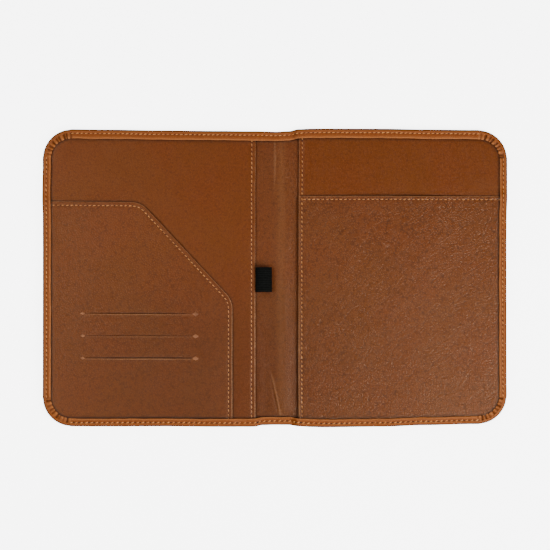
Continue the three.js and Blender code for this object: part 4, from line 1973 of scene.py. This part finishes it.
class Stitching:
    """Sets stitches, and dark plugs that paint the shadow of their awl holes, along lines with
    Geometry Nodes.
    """

    SEED = 17
    SWAY = 0.07
    SIZES = (0.9, 1.08)
    # The shape of a stitch, in radii of the thread, and its twist in radians
    SINK = -1.3
    CROWN = 2.1
    STRAND = 0.62
    APART = 0.48
    TWIST = 5.2

    @classmethod
    @cache
    def tree(cls, holes: bool) -> Tree:
        """Build the tree that sets stitches, or the painted shadows of their holes, along a curve.

        Args:
            holes: Whether to set the holes' painted shadows instead of the thread.

        Returns:
            The tree, with named inputs for its sizes.
        """
        name = "awl_hole_shadows" if holes else "thread_stitches"
        inputs = {
            "Geometry": ("NodeSocketGeometry", None),
            "Pitch": ("NodeSocketFloat", 0.0036),
            "Length": ("NodeSocketFloat", 0.0026),
            "Thread": ("NodeSocketFloat", 0.0003),
            "Slant": ("NodeSocketFloat", 0.1),
            "Material": ("NodeSocketMaterial", None),
        }
        outputs = {"Geometry": "NodeSocketGeometry"}
        tree, g, given, out = new_group(name, "GeometryNodeTree", inputs, outputs)
        pitch, length = given.outputs["Pitch"], given.outputs["Length"]
        thread, slant = given.outputs["Thread"], given.outputs["Slant"]
        points = g.add("GeometryNodeCurveToPoints", {"Curve": given.outputs["Geometry"],
                                                     "Length": pitch}, mode="LENGTH")
        tangent = points.outputs["Tangent"]
        ahead = g.add("FunctionNodeAlignRotationToVector", {"Vector": tangent}, axis="X")
        level = g.add("FunctionNodeAlignRotationToVector",
                      {"Rotation": ahead.outputs[0], "Vector": (0.0, 0.0, 1.0)},
                      axis="Z", pivot_axis="X")
        angle = g.math("ADD", slant, cls.chance(g, -cls.SWAY, cls.SWAY, cls.SEED))
        twist = g.add("FunctionNodeAxisAngleToRotation", {"Axis": (0.0, 0.0, 1.0), "Angle": angle})
        turned = g.add("FunctionNodeRotateRotation",
                       {"Rotation": level.outputs[0], "Rotate By": twist.outputs[0]},
                       rotation_space="LOCAL")
        size = cls.chance(g, *cls.SIZES, cls.SEED + 1)
        places = points.outputs["Points"]
        if holes:
            half = g.math("MULTIPLY", pitch, 0.5)
            forward = g.add("ShaderNodeVectorMath", {0: tangent, "Scale": half}, operation="SCALE")
            places = g.add("GeometryNodeSetPosition", {"Geometry": places,
                                                       "Offset": forward.outputs[0]}).outputs[0]
            shape = cls.hole(g, length, thread)
        else:
            shape = cls.stitch(g, length, thread)
        placed = g.add("GeometryNodeInstanceOnPoints",
                       {"Points": places, "Instance": shape, "Rotation": turned.outputs[0],
                        "Scale": size})
        real = g.add("GeometryNodeRealizeInstances", {"Geometry": placed.outputs[0]})
        dressed = g.add("GeometryNodeSetMaterial", {"Geometry": real.outputs[0],
                                                    "Material": given.outputs["Material"]})
        tree.links.new(dressed.outputs[0], out.inputs["Geometry"])
        return tree

    @staticmethod
    def chance(g: Graph, low: float, high: float, seed: int) -> Socket:
        """Draw a number for each stitch.

        Args:
            g: The tree's graph.
            low: The least number.
            high: The greatest number.
            seed: The seed of the draw.

        Returns:
            The number's socket.
        """
        node = g.add("FunctionNodeRandomValue", {"Min": low, "Max": high, "Seed": seed},
                     data_type="FLOAT")
        return next(s for s in node.outputs if s.enabled and s.type == "VALUE")

    @classmethod
    def stitch(cls, g: Graph, length: Socket, thread: Socket) -> Socket:
        """Make one stitch of two strands twisted round each other.

        Args:
            g: The tree's graph.
            length: The stitch's length.
            thread: The thread's radius.

        Returns:
            The stitch's geometry.
        """
        half = g.math("MULTIPLY", length, 0.5)
        sink = g.math("MULTIPLY", thread, cls.SINK)
        crown = g.math("MULTIPLY", thread, cls.CROWN)
        start = g.add("ShaderNodeCombineXYZ", {"X": g.math("MULTIPLY", half, -1.0), "Z": sink})
        middle = g.add("ShaderNodeCombineXYZ", {"Z": crown})
        end = g.add("ShaderNodeCombineXYZ", {"X": half, "Z": sink})
        arc = g.add("GeometryNodeCurveQuadraticBezier",
                    {"Resolution": 8, "Start": start.outputs[0], "Middle": middle.outputs[0],
                     "End": end.outputs[0]})
        along = g.add("GeometryNodeSplineParameter")
        tilt = g.math("MULTIPLY", along.outputs["Factor"], cls.TWIST)
        twisted = g.add("GeometryNodeSetCurveTilt", {"Curve": arc.outputs[0], "Tilt": tilt})
        strand = g.add("GeometryNodeCurvePrimitiveCircle",
                       {"Resolution": 6, "Radius": g.math("MULTIPLY", thread, cls.STRAND)},
                       mode="RADIUS")
        offset = g.math("MULTIPLY", thread, cls.APART)
        strands = g.add("GeometryNodeJoinGeometry")
        for sign in (1.0, -1.0):
            place = g.add("ShaderNodeCombineXYZ", {"X": g.math("MULTIPLY", offset, sign)})
            moved = g.add("GeometryNodeTransform", {"Geometry": strand.outputs[0],
                                                    "Translation": place.outputs[0]})
            g.tree.links.new(moved.outputs[0], strands.inputs[0])
        tube = g.add("GeometryNodeCurveToMesh", {"Curve": twisted.outputs[0],
                                                 "Profile Curve": strands.outputs[0],
                                                 "Fill Caps": True})
        return g.add("GeometryNodeSetShadeSmooth", {0: tube.outputs[0]}).outputs[0]

    @staticmethod
    def hole(g: Graph, length: Socket, thread: Socket) -> Socket:
        """Make one awl hole's painted shadow as a flat dark plug, which only just shows in the
        leather.

        Args:
            g: The tree's graph.
            length: The stitch's length.
            thread: The thread's radius.

        Returns:
            The hole's geometry.
        """
        ball = g.add("GeometryNodeMeshIcoSphere", {"Radius": 1.0, "Subdivisions": 2})
        size = g.add("ShaderNodeCombineXYZ", {"X": g.math("MULTIPLY", length, 0.3),
                                              "Y": g.math("MULTIPLY", thread, 1.1),
                                              "Z": g.math("MULTIPLY", thread, 0.5)})
        return g.add("GeometryNodeTransform",
                     {"Geometry": ball.outputs[0], "Scale": size.outputs[0]}).outputs[0]

    @classmethod
    def sew(
        cls, name: str, lines: list[Array], size: StitchSize, holes: bool = False,
        under: bool = False,
    ) -> Piece:
        """Set stitches along lines and leave them as a plain mesh.

        Args:
            name: The piece's name.
            lines: Each line's points in millimetres.
            size: The stitches' sizes.
            holes: Whether to set the holes' painted shadows instead of the thread.
            under: Whether they run round the whole case and are seen from below.

        Returns:
            The stitches' piece.
        """
        flip = -1.0 if under else 1.0
        curve = bpy.data.curves.new(name + "_line", "CURVE")
        curve.dimensions = "3D"
        for points in lines:
            spline = curve.splines.new("POLY")
            spline.points.add(len(points) - 1)
            rows = np.column_stack([points * (MM, MM, flip * MM), np.ones(len(points))])
            spline.points.foreach_set("co", rows.ravel())
            spline.use_cyclic_u = under
        line = bpy.data.objects.new(name + "_line", curve)
        bpy.context.scene.collection.objects.link(line)
        tree = cls.tree(holes)
        modifier = line.modifiers.new("sewing", "NODES")
        modifier.node_group = tree
        values = {
            "Pitch": size.pitch * MM, "Length": size.length * MM, "Thread": size.thread * MM,
            "Slant": size.slant, "Material": (HOLE_SHADOW if holes else THREAD).material(),
        }
        for item in tree.interface.items_tree:
            if item.in_out == "INPUT" and item.name in values:
                modifier[item.identifier] = values[item.name]
        bpy.context.view_layer.update()
        seen = line.evaluated_get(bpy.context.evaluated_depsgraph_get())
        mesh = bpy.data.meshes.new_from_object(seen)
        bpy.data.objects.remove(line)
        if under:
            mesh.transform(Matrix.Diagonal((1.0, 1.0, -1.0, 1.0)))
            mesh.flip_normals()
        mesh.name = name
        piece = bpy.data.objects.new(name, mesh)
        bpy.context.scene.collection.objects.link(piece)
        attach(piece, BODY)
        return piece


@dataclass
class Seams:
    """Every seam of the case: where its stitches run and how long they are."""

    cover: OuterCover
    documents: DocumentPocket
    notepad: NotepadPocket
    panel: InsidePanel
    pocket_sink: float = 0.16

    def lay(self, points: Line, height: float, lift: Height | None = None) -> Array:
        """Lay a line on a surface.

        Args:
            points: The line's flat places.
            height: The surface's height where it lies flat.
            lift: How far the surface stands off at each place, if it does.

        Returns:
            The line's points where the case lies.
        """
        x, y = np.array(points).T
        heights = np.full(len(x), height) + (lift(x, y) if lift else 0.0)
        return np.column_stack([*self.cover.case.lie(x, y), heights])

    def panel_lines(self) -> list[Array]:
        """Draw the seams on the panels, at their spine edges.

        Returns:
            Each seam's points.
        """
        case = self.cover.case
        low, high = case.rim_bottom - case.head - 1.5, case.head - case.rim_top + 1.5
        left = case.left_edge - self.panel.stitch_inset
        right = case.right_edge + self.notepad.edge_stitch
        face = case.panel_top - self.panel.stitch_dip
        above = (right, self.notepad.mouth + 2.0)
        return [
            self.lay(straight((left, low), (left, high), 1.5), face),
            self.lay(straight(above, (right, high), 1.5), face),
        ]

    def pocket_lines(self) -> list[Array]:
        """Draw the seams on the pockets.

        Returns:
            Each seam's points.
        """
        case = self.cover.case
        low = case.rim_bottom - case.head - 1.5
        right = case.right_edge + self.notepad.edge_stitch
        mouth = self.notepad.mouth - self.notepad.mouth_stitch
        end = case.side - case.rim_right + 1.5
        face = case.pocket_top - self.pocket_sink
        free = self.documents.outline.free_edge(self.documents.stitch_inset, 1.2)
        sloped = [p for p in free if case.inside_rim(np.array([p[0]]), np.array([p[1]]))[0] > -1.5]
        below = (right, self.notepad.mouth - 1.0)
        return [
            self.lay(straight((right, low), below, 1.5), face, self.notepad.lift),
            self.lay(straight((right + 2.0, mouth), (end, mouth), 1.5), face, self.notepad.lift),
            self.lay(sloped, face, self.documents.lift),
        ]

    def build(self) -> list[Piece]:
        """Sew every seam.

        Returns:
            The pieces of thread and of the holes' painted shadows.
        """
        right, head, left, foot = (self.cover.stitch_line(run) for run in self.cover.runs())
        upper, lower = self.cover.pitches[0], self.cover.pitches[-1]
        outside = StitchSize(upper, 2.7, 0.22, 0.1)
        made = [
            Stitching.sew("outside_seam_thread", [self.cover.outside_line()], outside, under=True)
        ]
        inner_lines = {"panel": self.panel_lines(), "pocket": self.pocket_lines()}
        # The pieces named for holes are dark plugs that paint the shadow in each awl hole
        for holes, ending in ((False, "thread"), (True, "holes")):
            side = StitchSize(upper, 2.7, 0.24 if holes else 0.36, 0.2)
            low = StitchSize(lower, 3.4 if holes else 3.1, 0.42, 0.5)
            inner = StitchSize(3.6, 2.5, 0.22 if holes else 0.3, 0.14)
            made.append(Stitching.sew(f"side_rim_seam_{ending}", [right, head, left], side, holes))
            made.append(Stitching.sew(f"foot_rim_seam_{ending}", [foot], low, holes))
            for place, lines in inner_lines.items():
                made.append(Stitching.sew(f"{place}_seam_{ending}", lines, inner, holes))
        return made


@dataclass
class BarTacks:
    """The small tacks of thread that end each card slit."""

    pocket: DocumentPocket
    strands: int = 9
    width: float = 4.6
    height: float = 3.4
    thread: float = 0.26
    beyond: float = 1.8
    left_size: float = 0.72
    taper: float = 0.82
    arch: float = 0.22
    steps: int = 6
    sides: int = 6

    def lines(self) -> list[Array]:
        """Draw each strand as a little arch over the leather.

        Returns:
            Each strand's points.
        """
        case = self.pocket.outline.case
        reach = self.pocket.slit_length / 2 + self.beyond
        along = np.linspace(-1, 1, self.steps)
        lines = []
        for level in self.pocket.slit_levels():
            for sign, size in ((-1, self.left_size), (1, 1.0)):
                for k in range(self.strands):
                    share = (k + 0.5) / self.strands * 2 - 1
                    tall = self.height * size * (1 - self.taper * abs(share))
                    middle = self.pocket.middle + sign * reach + share * self.width * size / 2
                    x = np.full(self.steps, middle)
                    y = np.linspace(level - tall * 0.45, level + tall * 0.55, self.steps)
                    top = case.pocket_top + self.pocket.lift(x, y) - 0.05
                    arched = top + self.arch * (1 - along**4)
                    lines.append(np.column_stack([*case.lie(x, y), arched]))
        return lines

    def build(self) -> Piece:
        """Build the tacks.

        Returns:
            The tacks' piece.
        """
        points, faces = [], []
        sides = self.sides
        for line in self.lines():
            first = len(points) * sides
            for k, centre in enumerate(line):
                before, after = line[max(k - 1, 0)], line[min(k + 1, len(line) - 1)]
                ahead = unit(after - before)
                aside = unit(np.cross(ahead, (0.0, 0.0, 1.0)))
                over = np.cross(aside, ahead)
                angles = 2 * np.pi * np.arange(sides) / sides
                ring = centre + self.thread * (
                    np.outer(np.cos(angles), aside) + np.outer(np.sin(angles), over)
                )
                points.append(ring)
            faces += [[first + n for n in f[::-1]] for f in ring_faces(self.steps, sides)]
            faces.append([first + n for n in range(sides)])
            faces.append([first + self.steps * sides - 1 - n for n in range(sides)])
        return make_mesh("slit_bar_tacks", np.vstack(points), faces, {}, TACK_THREAD)


@dataclass(frozen=True)
class Lamp:
    """A square soft box that faces the case: its place and side in metres, its power in watts."""

    name: str
    place: tuple[float, float, float]
    side: float
    power: float

    def build(self) -> None:
        """Hang the lamp."""
        light = bpy.data.lights.new(self.name, "AREA")
        light.shape = "SQUARE"
        light.size = self.side
        light.energy = self.power
        lamp = bpy.data.objects.new(self.name, light)
        lamp.location = self.place
        lamp.rotation_euler = (-Vector(self.place)).to_track_quat("-Z", "Y").to_euler()
        lamp.visible_camera = False
        bpy.context.scene.collection.objects.link(lamp)


@dataclass
class Studio:
    """A pale floor, soft light and a camera straight above the case."""

    frame_width: float = 441.65
    view_height: float = 1500.0
    aim: tuple[float, float, float] = (0.24, 2.33, 4.0)
    sensor: float = 36.0
    floor_half: float = 12.0
    floor_drop: float = 0.0003
    sky_glow: float = 0.05

    LAMPS = (
        Lamp("window_right", (1.35, -0.8, 1.3), 1.0, 28.0),
        Lamp("glint_right", (0.38, -0.23, 0.66), 0.14, 3.7),
        Lamp("glint_left", (-0.33, -0.06, 0.6), 0.12, 0.8),
        Lamp("window_left", (-1.0, 0.1, 1.15), 0.6, 8.0),
        Lamp("window_back", (-0.15, 1.25, 1.45), 1.0, 12.0),
        Lamp("window_front", (-0.15, -1.25, 1.45), 1.0, 10.5),
    )

    def floor(self) -> None:
        """Lay the floor, out of sight of the leather's reflections and bounced light."""
        half = self.floor_half
        mesh = bpy.data.meshes.new("floor")
        corners = [(-half, -half, 0.0), (half, -half, 0.0), (half, half, 0.0), (-half, half, 0.0)]
        mesh.from_pydata(corners, [], [(0, 1, 2, 3)])
        mesh.materials.append(FloorFinish("pale_floor").material())
        floor = bpy.data.objects.new("floor", mesh)
        floor.location.z = -self.floor_drop
        floor.visible_diffuse = False
        floor.visible_glossy = False
        bpy.context.scene.collection.objects.link(floor)
        floor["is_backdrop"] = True

    def sky(self) -> None:
        """Fill the room with even, pale light."""
        world = bpy.data.worlds.new("pale_room")
        bpy.context.scene.world = world
        world.use_nodes = True
        shade = next(n for n in world.node_tree.nodes if n.type == "BACKGROUND")
        shade.inputs["Color"].default_value = (1.0, 1.0, 1.0, 1.0)
        shade.inputs["Strength"].default_value = self.sky_glow

    def camera(self) -> None:
        """Hang the camera straight above the case."""
        data = bpy.data.cameras.new("camera")
        aim_x, aim_y, aim_z = self.aim
        data.sensor_width = self.sensor
        data.lens = self.sensor * (self.view_height - aim_z) / self.frame_width
        data.clip_end = 60.0
        camera = bpy.data.objects.new("camera", data)
        camera.location = (aim_x * MM, aim_y * MM, self.view_height * MM)
        bpy.context.scene.collection.objects.link(camera)
        bpy.context.scene.camera = camera

    def build(self) -> None:
        """Set up the whole studio."""
        self.camera()
        self.floor()
        self.sky()
        for lamp in self.LAMPS:
            lamp.build()


def write_sizes(cad: list[list[float]]) -> None:
    """Put the CAD model's box and the visual model's box side by side, without writing them anywhere.

    Args:
        cad: The CAD model's box, straight after loading.
    """
    boxes = {"cad": cad, "visual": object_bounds()}
    plain = {name: [[float(v) for v in corner] for corner in box] for name, box in boxes.items()}


def main() -> None:
    """Build the studio, then every piece of the case, and report each one."""
    logging.basicConfig(level=logging.INFO, format="%(name)s: %(message)s")
    cad = [list(corner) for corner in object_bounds()]
    case = Layout()
    Studio().build()
    cover = OuterCover(case)
    documents = DocumentPocket(DocumentOutline(case))
    notepad = NotepadPocket(case)
    panels = [
        InsidePanel(case, Side.LEFT, documents.outline.free_edge(0.0)),
        InsidePanel(case, Side.RIGHT, notepad.mouth_line()),
    ]
    seams = Seams(cover, documents, notepad, panels[0])
    pieces = [cover.build(), *(panel.build() for panel in panels), SpineLining(case).build()]
    pieces += [documents.build(), notepad.build(), PenLoop(case).build()]
    pieces += [*seams.build(), BarTacks(documents).build()]
    for piece in pieces:
        LOG.info("%s: %d faces", piece.name, len(piece.data.polygons))
    write_sizes(cad)


if __name__ == "__main__":
    main()
